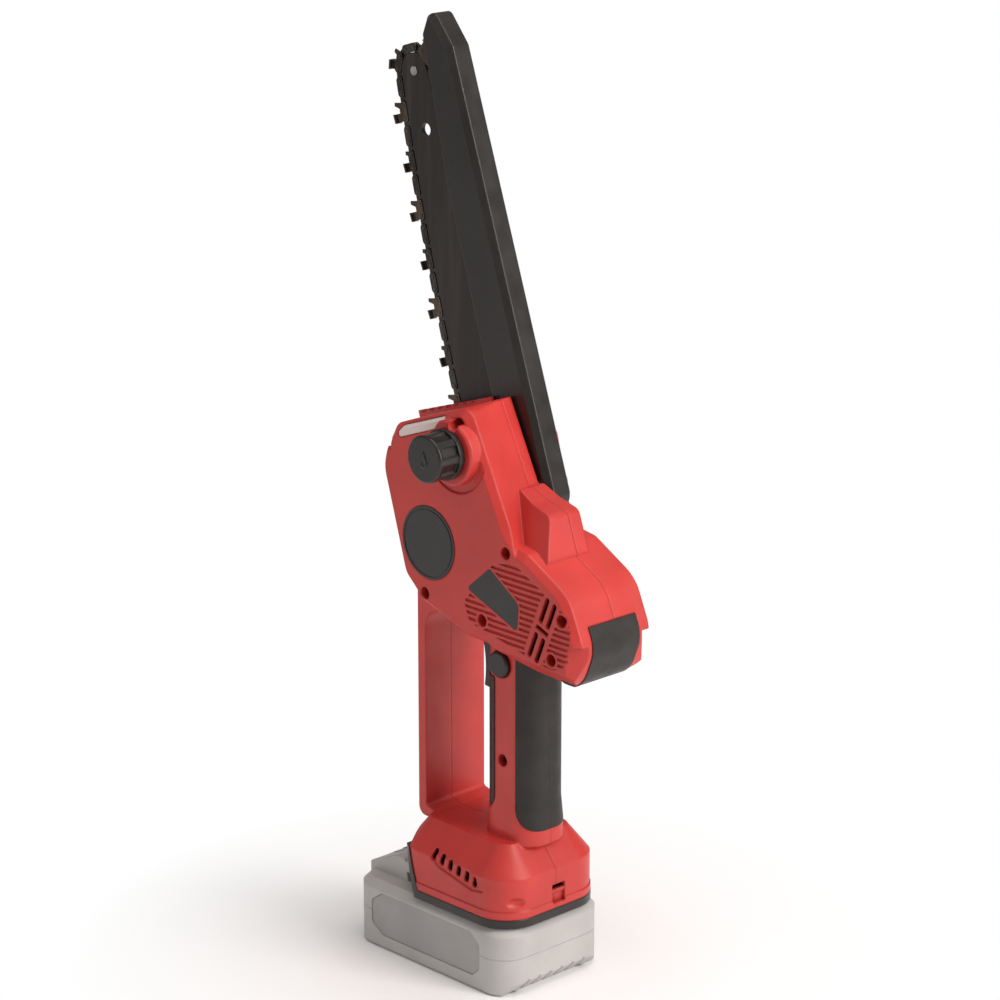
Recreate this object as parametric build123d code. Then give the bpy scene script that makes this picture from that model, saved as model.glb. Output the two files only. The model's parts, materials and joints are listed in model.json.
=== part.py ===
from build123d import *
import os
from math import atan2, cos, degrees, hypot, pi, radians, sin, sqrt

# A cordless pruning chainsaw that stands upright on its slide-on battery.
# Millimetres. Origin at the centre of the battery's flat underside, +Z up along the grip.
# +X points to the rear of the saw, +Y to the side that carries the bar and the chain.

# ---- Fits ----------------------------------------------------------------------------------------
SHAFT_CLEARANCE = 0.05   # radial, rotating shaft in its bearing or gear bore
SLIDE_CLEARANCE = 0.3    # around every piece that slides or lifts
SEAT_GAP = 0.3           # between a held piece and the rib that carries it

# ---- Battery -------------------------------------------------------------------------------------
BATTERY_LENGTH = 118.0
BATTERY_WIDTH = 74.0
BATTERY_CORNER = 15.0
BATTERY_LOWER_HEIGHT = 20.5
BATTERY_HEIGHT = 37.0
BATTERY_CHAMFER = 4.0
BATTERY_END_BEVEL = 7.0   # cut off the lower edges of the battery's two ends
BATTERY_WALL = 2.2
CELL_RADIUS = 9.1
CELL_LENGTH = 65.0
CELL_COUNT = 5
CELL_PITCH = 18.8
TOWER_NECK = 42.0        # width of the slide rail's neck
TOWER_FLANGE = 49.0      # width of the slide rail's flange
TOWER_HEIGHT = 11.0      # above the battery's top
TOWER_REAR = 34.0        # x of the rail's rear face
BLADE_PITCH = 8.0
BLADE_COUNT = 4
BLADE_THICKNESS = 0.8

# ---- Foot, rail band, grip and knuckle bow -------------------------------------------------------
WALL = 2.5
BAND_HEIGHT = 4.7
BAND_PROUD = 0.6
RIM_HEIGHT = 4.2         # the slightly wider rim along the foot's lower edge
RIM_PROUD = 0.5
FOOT_FRONT = -27.0
FOOT_REAR = 58.5
FOOT_WIDTH = 72.0
FOOT_CORNER = 19.0
FOOT_SIDE_TOP = 64.0
FOOT_TOP = 79.0
FOOT_TOP_INSET = 12.0
FOOT_SWEEP_LOW = (-7.5, 42.0)     # the front of the foot leans forward from here
FOOT_SWEEP_HIGH = (-20.5, 78.0)
GRIP_FRONT = 18.5
GRIP_REAR = 53.0
GRIP_WIDTH = 30.0
GRIP_CORNER = 11.5
GRIP_FLARE_TOP = 100.0
GRIP_FLARE = 1.5
GRIP_JOIN = 196.0        # the grip's core ends inside the head
BOW_FRONT = -26.0
BOW_THICKNESS = 5.5
BOW_LEFT = -18.0
BOW_RIGHT = 24.0
BOW_TOP = 222.0
BOW_BEND = 12.0
PAD_THICKNESS = 2.0
PAD_PROUD = 0.5
PAD_FRONT = 44.0
PAD_BOTTOM = 84.5
PAD_TOP = 187.5
STRIP_REAR = 28.5
STRIP_BOTTOM = 91.0
STRIP_TOP = 164.5

# ---- Head ----------------------------------------------------------------------------------------
HEAD_LEFT = -29.0
CHAIN_FACE = 8.0         # flat outer face beside the chain
MOTOR_RIGHT = 25.0
HEAD_EDGE = 3.5          # bevel around the left face
BACK_SLANT_RUN = 6.0     # the back of the head falls this far forward ...
BACK_SLANT_WIDTH = 27.0  # ... over this width
HEAD_OUTLINE = [         # x, z, corner radius; clockwise from the lower front
    (-12.0, 198.0, 12.0), (-25.5, 210.0, 14.0), (-43.0, 268.0, 20.0), (-31.5, 289.0, 9.0),
    (22.5, 308.0, 9.0), (51.0, 250.0, 5.0), (62.0, 238.0, 5.0), (45.0, 186.0, 6.0), (20.0, 187.5, 8.0)]
MOTOR_OUTLINE = [
    (34.0, 187.0, 6.0), (44.0, 243.0, 8.0), (64.0, 240.0, 8.0), (92.0, 224.5, 22.0),
    (103.5, 198.0, 18.0), (94.0, 174.5, 16.0), (60.0, 175.0, 8.0)]
SHOULDER_OUTLINE = [
    (32.0, 262.0, 2.0), (40.0, 265.5, 4.0), (52.0, 260.5, 6.0), (65.5, 257.0, 5.0),
    (73.5, 234.0, 3.0), (44.0, 232.0, 3.0)]
SHOULDER_LEFT_TOP = (-12.0, 258.0)      # y, z of the shoulder's slanted left side
SHOULDER_LEFT_FOOT = (-21.0, 236.0)
MOTOR_BEVEL = (16.0, 12.5)        # depth along Y and height of the bevels below the motor
MOTOR_BEVEL_LINE = ((21.5, 188.5), (92.0, 184.5))
REAR_BEVEL = 10.0
BUMPER_LEFT = -18.5
BUMPER_RIGHT = 14.5
BUMPER_TOP = 209.0
BUMPER_THICKNESS = 2.4
SCREW_PLACES = [         # x, z of the screws that close the two halves
    (-36.5, 277.0), (18.0, 298.5), (51.0, 238.5), (-8.5, 203.8), (34.0, 199.3),
    (90.5, 212.5), (83.5, 190.5), (34.4, 120.5)]
SCREW_HEAD_RADIUS = 3.0
SCREW_RADIUS = 1.5
SCREW_LENGTH = 16.0
GRIP_SCREW_TOP = 150.0    # screws below this height stand in the narrow grip
MOTOR_SCREW_FRONT = 45.0  # screws behind this stand in the wider motor housing

# ---- Badge, plate and vents ----------------------------------------------------------------------
BADGE_PLACE = (-5.4, 231.5)
BADGE_RADIUS = 19.3
LABEL_THICKNESS = 0.6
PLATE_OUTLINE = [(23.0, 214.0, 1.5), (39.5, 228.0, 1.5), (60.5, 214.0, 5.0), (59.5, 199.5, 2.0)]
PANEL_OUTLINE = [
    (20.0, 207.0, 5.0), (42.0, 232.0, 6.0), (58.0, 235.0, 6.0), (77.0, 225.5, 6.0),
    (97.0, 215.0, 12.0), (97.0, 190.0, 12.0), (84.0, 184.5, 8.0), (24.0, 196.0, 5.0)]
PANEL_DEPTH = 1.0
RIB_PITCH = 3.1
RIB_WIDTH = 1.5
VENT_CENTRE = (77.0, 204.5)
VENT_TILT = 22.0
VENT_FRAME_LENGTH = 42.0
VENT_FRAME_WIDTH = 14.0
VENT_POCKET_DEPTH = 0.8
RECESS_TURN = 61.0        # how far round the foot's corner the scooped oval lies
RECESS_HEIGHT = 51.0

# ---- Oil tank and cap ----------------------------------------------------------------------------
CAP_PLACE = (14.5, 283.6)
CAP_BOSS_RADIUS = 17.0
CAP_BOSS_HEIGHT = 5.0
CAP_RADIUS = 12.3
CAP_FLANGE_RADIUS = 13.2
CAP_HEIGHT = 14.8
CAP_GRIPS = 8
SCOOP_RADIUS = 21.5      # of the shallow recess below the cap's boss
SCOOP_DEPTH = 1.0
NECK_RADIUS = 8.0
TANK_RIGHT = -3.0
TANK_OUTLINE = [(-22.0, 264.0, 4.0), (-28.5, 272.0, 3.0), (-28.0, 287.0, 3.0), (7.0, 300.0, 3.0),
                (12.5, 295.0, 3.0), (26.0, 290.5, 3.0), (38.0, 266.0, 4.0)]
WINDOW_OUTLINE = [(-29.5, 282.0, 1.5), (-25.0, 289.3, 1.5), (9.0, 301.3, 1.5), (4.5, 294.3, 1.5)]

# ---- Chain, bar and drive ------------------------------------------------------------------------
CHAIN_PITCH = 6.35
DRIVE_LINKS = 44
DRIVE_TEETH = 8
NOSE_TEETH = 6
BAR_PLANE = 16.0
BAR_THICKNESS = 2.6
BAR_SIDE_RADIUS = 1770.0
BAR_TILT = 16.8          # the bar leans forward by this angle from vertical
NOSE_CENTRE = (-62.0, 461.2)
GROOVE_WIDTH = 1.5
GROOVE_DEPTH = 3.2
LINK_GAUGE = 1.2
STRAP_THICKNESS = 0.9
STRAP_HALF_HEIGHT = 2.2
RAIL_GAP = 0.25
TANG_LENGTH = 5.0
CUTTER_HEIGHT = 5.2
RIVET_RADIUS = 0.9
BAR_TAIL = 23.0          # from the sprocket's centre to the tail of the bar
BAR_SLOT_START = 31.0
BAR_SLOT_LENGTH = 27.0
BAR_SLOT_WIDTH = 8.4
BAR_STUD_AT = 42.0
HANG_HOLE_AT = 30.5      # from the nose centre
HANG_HOLE_RADIUS = 3.4
TENSION_OFFSET = -13.0
TENSION_AT = 33.0
TENSION_PIN_OFFSET = -7.6
TENSION_PIN_RADIUS = 2.0
STUD_RADIUS = 4.0

MOTOR_TILT = 27.2        # the motor's axis falls to the rear by this angle
MOTOR_PLANE = -6.5
CAN_RADIUS = 16.5
CAN_START = 30.0
CAN_LENGTH = 36.0
END_CAP_LENGTH = 8.0
FAN_RADIUS = 14.0
SHAFT_RADIUS = 1.6
SHAFT_START = 11.0
MOTOR_LEAD_PLACES = (-5.0, 0.0)   # y of the two leads that reach the motor's end cap
TERMINAL_REACH = 12.5    # from the motor's axis down to the faces that take the leads
TERMINAL_SEAT = 4.4
PINION_TEETH = 9
GEAR_TEETH = 27
GEAR_MODULE = 1.15
GEAR_FACE = 6.0
SPROCKET_SHAFT_RADIUS = 4.0
BEARING_RADIUS = 9.5
BEARING_WIDTH = 5.0
CASE_RADIUS = 21.5
CASE_WALL = 2.4
BULGE_WALL = 1.7         # casing over the part of the motor that stands past the chain face

# ---- Chain guard and side cover ------------------------------------------------------------------
GUARD_LEFT = 9.5
GUARD_RIGHT = 26.0
GUARD_WALL = 1.8
GUARD_EDGE = 3.0
GUARD_TAIL = 13.0         # how far the guard reaches below its pivot
GUARD_PIVOT = (16.0, 33.0)        # along the bar and across it, from the sprocket
GUARD_PIVOT_RADIUS = 2.5
COVER_OUTLINE = [(-51.0, 282.0, 5.0), (-47.0, 250.0, 14.0), (-28.0, 217.0, 14.0), (0.0, 204.0, 14.0),
                 (28.0, 212.0, 12.0), (36.0, 236.0, 14.0), (24.0, 284.0, 6.0), (6.0, 300.5, 5.0)]
COVER_RIGHT = 36.0
LIP_HEIGHT = 4.8
COVER_WALL = 2.2

# ---- Trigger and lock-off button -----------------------------------------------------------------
TRIGGER_FRONT = 9.0
TRIGGER_BOTTOM = 153.3
TRIGGER_TOP = 184.0
TRIGGER_WIDTH = 14.0
TRIGGER_TRAVEL = 5.0
BUTTON_PLACE = (33.0, 172.5)
BUTTON_RADIUS = 6.9
BUTTON_PROUD = 2.6
BUTTON_TRAVEL = 2.2
SWITCH_HALF_WIDTH = 7.5
SWITCH_FRONT = 24.0
SWITCH_REAR = 46.0
SWITCH_BOTTOM = 150.0
SWITCH_TOP = 184.0
BOARD_HEIGHT = 56.0      # underside of the control board
BOARD_THICKNESS = 1.6
BOARD_SPAN = (-6.0, 44.0)
BOARD_HALF_WIDTH = 31.0
WIRE_RADIUS = 1.3
LEAD_X = 41.0            # the leads that rise to the switch stand here
OIL_BORE = 0.8
BLADE_SLOT = 2.6         # width of the slots in the battery that take the blades
GROOVE_PITCH = 8.0
BATTERY_LABEL_DEPTH = 1.0
BATTERY_LABEL_OUTLINE = [
    (-43.0, 26.0, 2.0), (-35.0, 31.5, 2.0), (33.0, 31.5, 2.0), (39.5, 26.0, 2.0),
    (39.5, 12.5, 2.0), (34.5, 8.0, 2.0), (-34.5, 8.0, 2.0), (-43.0, 13.5, 2.0)]


# ---- Shape helpers -------------------------------------------------------------------------------
def outline(corners, grow=0.0):
    """A closed outline from (across, up, corner radius) points, grown outwards all round."""
    points = [(across, up) for across, up, radius in corners]
    radii = [radius for across, up, radius in corners]
    face = make_face(FilletPolyline(*points, radius=radii, close=True))
    if grow:
        face = offset(face, amount=grow)
    return face


def slab(face, y_low, y_high):
    """Stands an (x, z) outline up between two depths."""
    side = Plane(origin=(0, y_high, 0), x_dir=(1, 0, 0), z_dir=(0, -1, 0))
    return extrude(side * face, amount=y_high - y_low)


def block(x, y, z):
    """A box from its (low, high) span along each axis."""
    centre = [(low + high) / 2 for low, high in (x, y, z)]
    return Pos(*centre) * Box(*[high - low for low, high in (x, y, z)])


def rod(place, radius, y_low, y_high):
    return slab(Pos(*place) * Circle(radius), y_low, y_high)


def tube(place, outer, inner, y_low, y_high):
    return slab(Pos(*place) * (Circle(outer) - Circle(inner)), y_low, y_high)


def beyond(point, outward):
    """Everything outside a plane, as a large block to cut away."""
    reach = 400
    plane = Plane(origin=point, z_dir=outward)
    return plane * (Pos(0, 0, reach / 2) * Box(reach, reach, reach))


def pushed(point, direction, distance):
    length = sqrt(sum(part * part for part in direction))
    return tuple(at + part / length * distance for at, part in zip(point, direction))


def one_solid(shape):
    """The main body of a cut shape, without crumbs left beside it."""
    return max(shape.solids(), key=lambda solid: solid.volume)


# ---- The chain's loop, which sets the distance between the sprocket and the nose -----------------
DRIVE_RADIUS = DRIVE_TEETH * CHAIN_PITCH / pi
NOSE_RADIUS = NOSE_TEETH * CHAIN_PITCH / pi
LOOP_LENGTH = DRIVE_LINKS * 2 * CHAIN_PITCH


def side_arc(centres):
    """Centre of the large arc that runs along one side of the bar, in (along, across)."""
    to_drive = BAR_SIDE_RADIUS - DRIVE_RADIUS
    to_nose = BAR_SIDE_RADIUS - NOSE_RADIUS
    along = (to_drive ** 2 - to_nose ** 2 + centres ** 2) / (2 * centres)
    return along, -sqrt(to_drive ** 2 - along ** 2)


def loop_angles(centres):
    along, across = side_arc(centres)
    return atan2(-across, centres - along), atan2(-across, -along)


def loop_length(centres):
    nose_angle, drive_angle = loop_angles(centres)
    sides = 2 * BAR_SIDE_RADIUS * (drive_angle - nose_angle)
    return sides + 2 * nose_angle * NOSE_RADIUS + 2 * (pi - drive_angle) * DRIVE_RADIUS


def centre_distance():
    """The centre distance at which the loop takes the whole chain, by halving the span."""
    low, high = LOOP_LENGTH / 4, LOOP_LENGTH / 2
    while high - low > 1e-6:
        middle = (low + high) / 2
        if loop_length(middle) < LOOP_LENGTH:
            low = middle
        else:
            high = middle
    return middle


CENTRES = centre_distance()
ARC_ALONG, ARC_ACROSS = side_arc(CENTRES)
TILT = radians(BAR_TILT)
SPROCKET = (NOSE_CENTRE[0] + CENTRES * sin(TILT), NOSE_CENTRE[1] - CENTRES * cos(TILT))


def at_bar(along, across):
    """Turns a place along and across the bar into (x, z)."""
    return (SPROCKET[0] - along * sin(TILT) + across * cos(TILT),
            SPROCKET[1] + along * cos(TILT) + across * sin(TILT))


def bar_slab(face, y_low, y_high):
    """Thickens an (along, across) outline, measured from the sprocket, between two depths."""
    side = Plane(origin=(SPROCKET[0], y_low, SPROCKET[1]), x_dir=(-sin(TILT), 0, cos(TILT)),
                 z_dir=(0, 1, 0))
    return extrude(side * face, amount=y_high - y_low)


def loop_point(distance):
    """A rivet's place on the loop, in (along, across), from the nose's tip towards the back."""
    nose_angle, drive_angle = loop_angles(CENTRES)
    nose_part = nose_angle * NOSE_RADIUS
    side_part = BAR_SIDE_RADIUS * (drive_angle - nose_angle)
    half = LOOP_LENGTH / 2
    distance = distance % LOOP_LENGTH
    mirror = 1
    if distance > half:
        distance = LOOP_LENGTH - distance
        mirror = -1
    if distance < nose_part:
        angle = distance / NOSE_RADIUS
        return CENTRES + NOSE_RADIUS * cos(angle), mirror * NOSE_RADIUS * sin(angle)
    distance -= nose_part
    if distance < side_part:
        angle = nose_angle + distance / BAR_SIDE_RADIUS
        along = ARC_ALONG + BAR_SIDE_RADIUS * cos(angle)
        return along, mirror * (ARC_ACROSS + BAR_SIDE_RADIUS * sin(angle))
    angle = drive_angle + (distance - side_part) / DRIVE_RADIUS
    return DRIVE_RADIUS * cos(angle), mirror * DRIVE_RADIUS * sin(angle)


# ---- The motor's own axis ------------------------------------------------------------------------
MOTOR_FALL = radians(MOTOR_TILT)
MOTOR_AXIS = Plane(origin=(SPROCKET[0], MOTOR_PLANE, SPROCKET[1]), x_dir=(0, 1, 0),
                   z_dir=(cos(MOTOR_FALL), 0, -sin(MOTOR_FALL))).location


def motor_rod(radius, start, end):
    return MOTOR_AXIS * Pos(0, 0, (start + end) / 2) * Cylinder(radius, end - start)


# ---- Outer forms of the casing, each of which can be grown or shrunk -----------------------------
def head_form(grow=0.0, edge=0.0):
    form = slab(outline(HEAD_OUTLINE, grow), HEAD_LEFT - grow, CHAIN_FACE + grow)
    if edge:
        form = chamfer(form.faces().sort_by(Axis.Y)[0].edges(), edge)
    back_top = HEAD_OUTLINE[4]
    back_foot = HEAD_OUTLINE[5]
    run = (back_foot[0] - back_top[0], back_foot[1] - back_top[1])
    across = (-BACK_SLANT_RUN, BACK_SLANT_WIDTH)
    outward = Vector(run[0], 0, run[1]).cross(Vector(across[0], across[1], 0)) * -1
    if outward.X < 0:
        outward = outward * -1
    point = (back_top[0], HEAD_LEFT + edge, back_top[1])
    return form - beyond(pushed(point, tuple(outward), grow), tuple(outward))


def motor_form(grow=0.0, edge=0.0):
    form = slab(outline(MOTOR_OUTLINE, grow), HEAD_LEFT - grow, MOTOR_RIGHT + grow)
    if edge:
        form = chamfer(form.faces().sort_by(Axis.Y)[0].edges(), edge)
        form = chamfer(form.faces().sort_by(Axis.Y)[-1].edges(), edge)
    (x_low, z_low), (x_high, z_high) = MOTOR_BEVEL_LINE
    depth, height = MOTOR_BEVEL
    run = Vector(x_high - x_low, 0, z_high - z_low)
    rear = max(corner[0] for corner in MOTOR_OUTLINE)
    for side, face_y in ((-1, HEAD_LEFT), (1, MOTOR_RIGHT)):
        outward = run.cross(Vector(0, -side * depth, -height)) * side
        form -= beyond(pushed((x_low, face_y, z_low), tuple(outward), grow), tuple(outward))
        corner = (rear - REAR_BEVEL, face_y, 0)
        form -= beyond(pushed(corner, (1, side, 0), grow), (1, side, 0))
    return form


def shoulder_form(grow=0.0):
    form = slab(outline(SHOULDER_OUTLINE, grow), SHOULDER_LEFT_FOOT[0] - grow, CHAIN_FACE + grow)
    run = (SHOULDER_LEFT_FOOT[0] - SHOULDER_LEFT_TOP[0], SHOULDER_LEFT_FOOT[1] - SHOULDER_LEFT_TOP[1])
    outward = (0, run[1], -run[0])
    return form - beyond(pushed((0, *SHOULDER_LEFT_TOP), outward, grow), outward)


def grip_section(grow=0.0):
    centre = (GRIP_FRONT + GRIP_REAR) / 2
    depth = GRIP_REAR - GRIP_FRONT + 2 * grow
    return Pos(centre, 0) * RectangleRounded(depth, GRIP_WIDTH + 2 * grow, GRIP_CORNER + grow)


def grip_form(grow=0.0):
    return Pos(0, 0, FOOT_TOP - WALL) * extrude(grip_section(grow), amount=GRIP_JOIN - FOOT_TOP + WALL)


def grip_flare():
    """The skirt that spreads the grip onto the foot."""
    low = FOOT_TOP + 4
    return (loft([Pos(0, 0, low) * grip_section(GRIP_FLARE), Pos(0, 0, GRIP_FLARE_TOP) * grip_section()])
            + Pos(0, 0, FOOT_TOP - WALL) * extrude(grip_section(GRIP_FLARE), amount=low - FOOT_TOP + WALL))


def footprint(grow=0.0):
    length = FOOT_REAR - FOOT_FRONT + 2 * grow
    middle = (FOOT_REAR + FOOT_FRONT) / 2
    return Pos(middle, 0) * RectangleRounded(length, FOOT_WIDTH + 2 * grow, FOOT_CORNER + grow)


def sweep_cut(grow=0.0):
    """What lies in front of the foot's leaning front."""
    (x_low, z_low), (x_high, z_high) = FOOT_SWEEP_LOW, FOOT_SWEEP_HIGH
    outward = (z_low - z_high, 0, x_high - x_low)
    return beyond(pushed((x_low, 0, z_low), outward, grow), outward)


def foot_form(grow=0.0):
    base = BATTERY_HEIGHT + SEAT_GAP + BAND_HEIGHT
    form = Pos(0, 0, base) * extrude(footprint(grow), amount=FOOT_SIDE_TOP - base)
    form += Pos(0, 0, base) * extrude(footprint(grow + RIM_PROUD), amount=RIM_HEIGHT)
    top = Pos(0, 0, FOOT_TOP + grow) * footprint(grow - FOOT_TOP_INSET)
    form += loft([Pos(0, 0, FOOT_SIDE_TOP) * footprint(grow), top])
    return form - sweep_cut(grow)


def bow_form():
    """The strap in front of the fingers, bent over at its top and run back under the head."""
    inner = BOW_FRONT + BOW_THICKNESS
    foot = FOOT_TOP - 4
    strap = outline([
        (BOW_FRONT, foot, 5.0), (BOW_FRONT, 199.0, 5.0), (36.0, 190.0, 0.0), (30.0, 184.5, 0.0),
        (2.0, 191.5, 4.0), (inner, 191.5, BOW_BEND), (inner, FOOT_TOP + 2, 2.0),
        (inner + 12, FOOT_TOP - 1, 0.0), (inner + 12, foot, 0.0)])
    riser = block((BOW_FRONT, -8), (BOW_LEFT, CHAIN_FACE), (194, BOW_TOP))
    return slab(strap, BOW_LEFT, BOW_RIGHT) + riser


# ---- Casing --------------------------------------------------------------------------------------
def pad_region(side):
    """The rear part of one side of the grip, with a rounded lower end."""
    face = outline([(PAD_FRONT, PAD_BOTTOM, 14.0), (80, PAD_BOTTOM, 0.0), (80, PAD_TOP - 9, 0.0),
                    (PAD_FRONT, PAD_TOP, 4.0)])
    return slab(face, *sorted((0, side * 40)))


def grip_pad(side):
    skin = (grip_form(PAD_PROUD) + loft([Pos(0, 0, FOOT_TOP + 4) * grip_section(GRIP_FLARE + PAD_PROUD),
                                         Pos(0, 0, GRIP_FLARE_TOP) * grip_section(PAD_PROUD)]))
    core = grip_form(PAD_PROUD - PAD_THICKNESS)
    low = Pos(0, 0, FOOT_TOP + 4) * grip_section(GRIP_FLARE + PAD_PROUD - PAD_THICKNESS)
    core += loft([low, Pos(0, 0, GRIP_FLARE_TOP) * grip_section(PAD_PROUD - PAD_THICKNESS)])
    return one_solid((skin - core) & pad_region(side))


def front_grip_strip():
    """The soft strip round the front of the grip, forked at its top for the trigger."""
    region = slab(outline([(0, STRIP_BOTTOM, 0.0), (STRIP_REAR, STRIP_BOTTOM, 8.0), (STRIP_REAR, STRIP_TOP, 1.0),
                           (0, STRIP_TOP, 0.0)]), -GRIP_WIDTH, GRIP_WIDTH)
    fork = TRIGGER_WIDTH / 2 + SLIDE_CLEARANCE + 1.2
    region -= block((0, STRIP_REAR), (-fork, fork), (TRIGGER_BOTTOM - 2.7, TRIGGER_TOP))
    return one_solid((grip_form(PAD_PROUD) - grip_form(PAD_PROUD - PAD_THICKNESS)) & region)


def bumper_region():
    return block((70, 130), (BUMPER_LEFT, BUMPER_RIGHT), (160, BUMPER_TOP)) \
        - beyond((79, 0, 172.0), (-1, 0, 0.35))


def rear_bumper():
    skin = motor_form(PAD_PROUD) - motor_form(PAD_PROUD - BUMPER_THICKNESS)
    return one_solid(skin & bumper_region())


def casing_solid():
    """The closed outer form of the saw's casing."""
    return (head_form(edge=HEAD_EDGE) + motor_form(edge=HEAD_EDGE) + shoulder_form() + foot_form()
            + grip_form() + grip_flare() + bow_form())


def casing_cavity():
    shrink = -WALL
    inner_foot = foot_form(shrink)
    base = BATTERY_HEIGHT + SEAT_GAP + BAND_HEIGHT
    mouth = block((FOOT_FRONT - 5, TOWER_REAR + 14), (-TOWER_FLANGE / 2 - 1, TOWER_FLANGE / 2 + 1),
                  (base - 2, BATTERY_HEIGHT + TOWER_HEIGHT + 1))
    tongue = TONGUE_HALF_WIDTH + SLIDE_CLEARANCE
    mouth += block((FOOT_FRONT - 5, 5), (-tongue, tongue), (base, TOWER_TOP + CATCH_HEIGHT + SLIDE_CLEARANCE))
    grip_inside = Pos(0, 0, -8) * grip_form(-WALL - PAD_THICKNESS + PAD_PROUD)
    return (head_form(shrink) + motor_form(shrink) + shoulder_form(shrink) + inner_foot
            + grip_inside + mouth)


def casing_ribs():
    """Inner walls that carry the motor, the gear case, the tank, the switch and the board."""
    ribs = []
    for start in (CAN_START + 4, CAN_START + CAN_LENGTH - 7):
        sheet = motor_rod(CAN_RADIUS + 5, start, start + 3)
        sheet += MOTOR_AXIS * Pos(15, 0, start + 1.5) * Box(30, 20, 3)
        ribs.append(sheet - motor_rod(CAN_RADIUS + SEAT_GAP, start - 1, start + 4))
    case_ring = tube(SPROCKET, CASE_RADIUS + 4, CASE_RADIUS + SEAT_GAP, -14, -11)
    ribs.append(case_ring - motor_rod(CAN_RADIUS + 3, 0, CAN_START + 30))
    side_y = FOOT_WIDTH / 2 - WALL / 2
    for side in (-1, 1):
        for x in (-4, 24):
            ribs.append(block((x, x + 3), sorted((side * 25, side * side_y)), (50, BOARD_HEIGHT)))
        switch_rib = block((SWITCH_REAR - 8, SWITCH_REAR - 5), sorted((side * (SWITCH_HALF_WIDTH + SEAT_GAP),
                           side * (GRIP_WIDTH / 2 - WALL / 2 - PAD_THICKNESS))), (156, 182))
        ribs.append(switch_rib)
    return ribs


def screw_holes():
    """Each screw's head pocket, its clearance through the left half and its pilot in the right."""
    holes = []
    for place in SCREW_PLACES:
        face = screw_seat(place)
        holes.append(rod(place, SCREW_HEAD_RADIUS + SLIDE_CLEARANCE, -60, face))
        holes.append(rod(place, SCREW_RADIUS + SHAFT_CLEARANCE, face - 1, face + SCREW_LENGTH + 0.5))
    return holes


def screw_seat(place):
    """The depth at which a screw's head rests: in the grip the casing is narrower."""
    return -9.0 if place[1] < GRIP_SCREW_TOP else -12.0


def screw_bosses():
    bosses = []
    for place in SCREW_PLACES:
        in_grip = place[1] < GRIP_SCREW_TOP
        left = -GRIP_WIDTH / 2 + 1 if in_grip else HEAD_LEFT + 1
        right = MOTOR_RIGHT - 1 if place[0] > MOTOR_SCREW_FRONT else CHAIN_FACE - 1
        bosses.append(rod(place, SCREW_HEAD_RADIUS + 1.8, left, GRIP_WIDTH / 2 - 1 if in_grip else right))
    return bosses


def housing_screws():
    screws = []
    for place in SCREW_PLACES:
        face = screw_seat(place)
        head = rod(place, SCREW_HEAD_RADIUS, face - 2.2, face)
        drive = [slab(Pos(*place) * Rot(0, 0, turn) * Rectangle(3.6, 0.8), face - 3, face - 1.1)
                 for turn in (0, 90)]
        screws.append(head + rod(place, SCREW_RADIUS, face, face + SCREW_LENGTH) - drive)
    return screws


def vent_slots():
    """The motor's vents: two long slots above a cross slot and two below it, all leaning."""
    turn = Pos(*VENT_CENTRE) * Rot(0, 0, -VENT_TILT)
    long = VENT_FRAME_LENGTH * 0.36
    face = turn * Pos(0, 0) * Rectangle(9, 2.4)
    for side in (-1, 1):
        for end in (-1, 1):
            face += turn * Pos(side * 2.7, end * (long / 2 + 3.0)) * SlotOverall(long, 3.0, rotation=90)
    return slab(face, HEAD_LEFT - 3, HEAD_LEFT + WALL + 1)


def vent_frame():
    face = Pos(*VENT_CENTRE) * Rot(0, 0, -VENT_TILT) * SlotOverall(VENT_FRAME_LENGTH, VENT_FRAME_WIDTH, rotation=90)
    return slab(face, HEAD_LEFT, HEAD_LEFT + WALL)


def panel_recess():
    """The sunken side panel, with its level ribs left standing."""
    panel = outline(PANEL_OUTLINE)
    low = min(corner[1] for corner in PANEL_OUTLINE)
    high = max(corner[1] for corner in PANEL_OUTLINE)
    ribs = [Pos(0, low + RIB_PITCH * count) * Rectangle(300, RIB_WIDTH)
            for count in range(int((high - low) / RIB_PITCH) + 1)]
    floor = slab(panel, HEAD_LEFT - 1, HEAD_LEFT + PANEL_DEPTH)
    grooves = slab(offset(panel, amount=-0.8) - ribs, HEAD_LEFT - 1, HEAD_LEFT + PANEL_DEPTH)
    keep = [rod(place, SCREW_HEAD_RADIUS + 1.6, -60, 0) for place in SCREW_PLACES]
    keep.append(vent_frame())
    keep.append(slab(outline(PLATE_OUTLINE, 1.2), -60, 0))
    return (grooves & floor) - keep


def vent_pocket(side):
    """The shallow leaning pocket round the foot's vents, pointed at both ends."""
    face = outline([(-3.0, 68.5, 0.5), (5.0, 70.5, 3.0), (31.0, 65.0, 4.0), (42.0, 55.5, 0.5), (33.0, 54.0, 3.0),
                    (7.0, 59.5, 4.0)])
    return slab(face, *sorted((side * (FOOT_WIDTH / 2 - VENT_POCKET_DEPTH), side * 40)))


def foot_vents(side):
    """Six leaning slots in each side of the foot."""
    slot = SlotOverall(6.4, 3.4, rotation=90)
    slots = [Pos(4 + count * 6.2, 65.0 - count * 1.15) * Rot(0, 0, -14) * slot for count in range(6)]
    return [slab(face, *sorted((side * 25, side * 40))) for face in slots]


def finger_recess():
    """The shallow scooped oval at the rear left corner of the foot."""
    turn = radians(RECESS_TURN)
    reach = FOOT_CORNER + 1.2
    x = FOOT_REAR - FOOT_CORNER + reach * sin(turn)
    y = -FOOT_WIDTH / 2 + FOOT_CORNER - reach * cos(turn)
    return Pos(x, y, RECESS_HEIGHT) * Rot(0, 0, RECESS_TURN) * scale(Sphere(1), by=(6.8, 3.0, 3.1))


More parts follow.
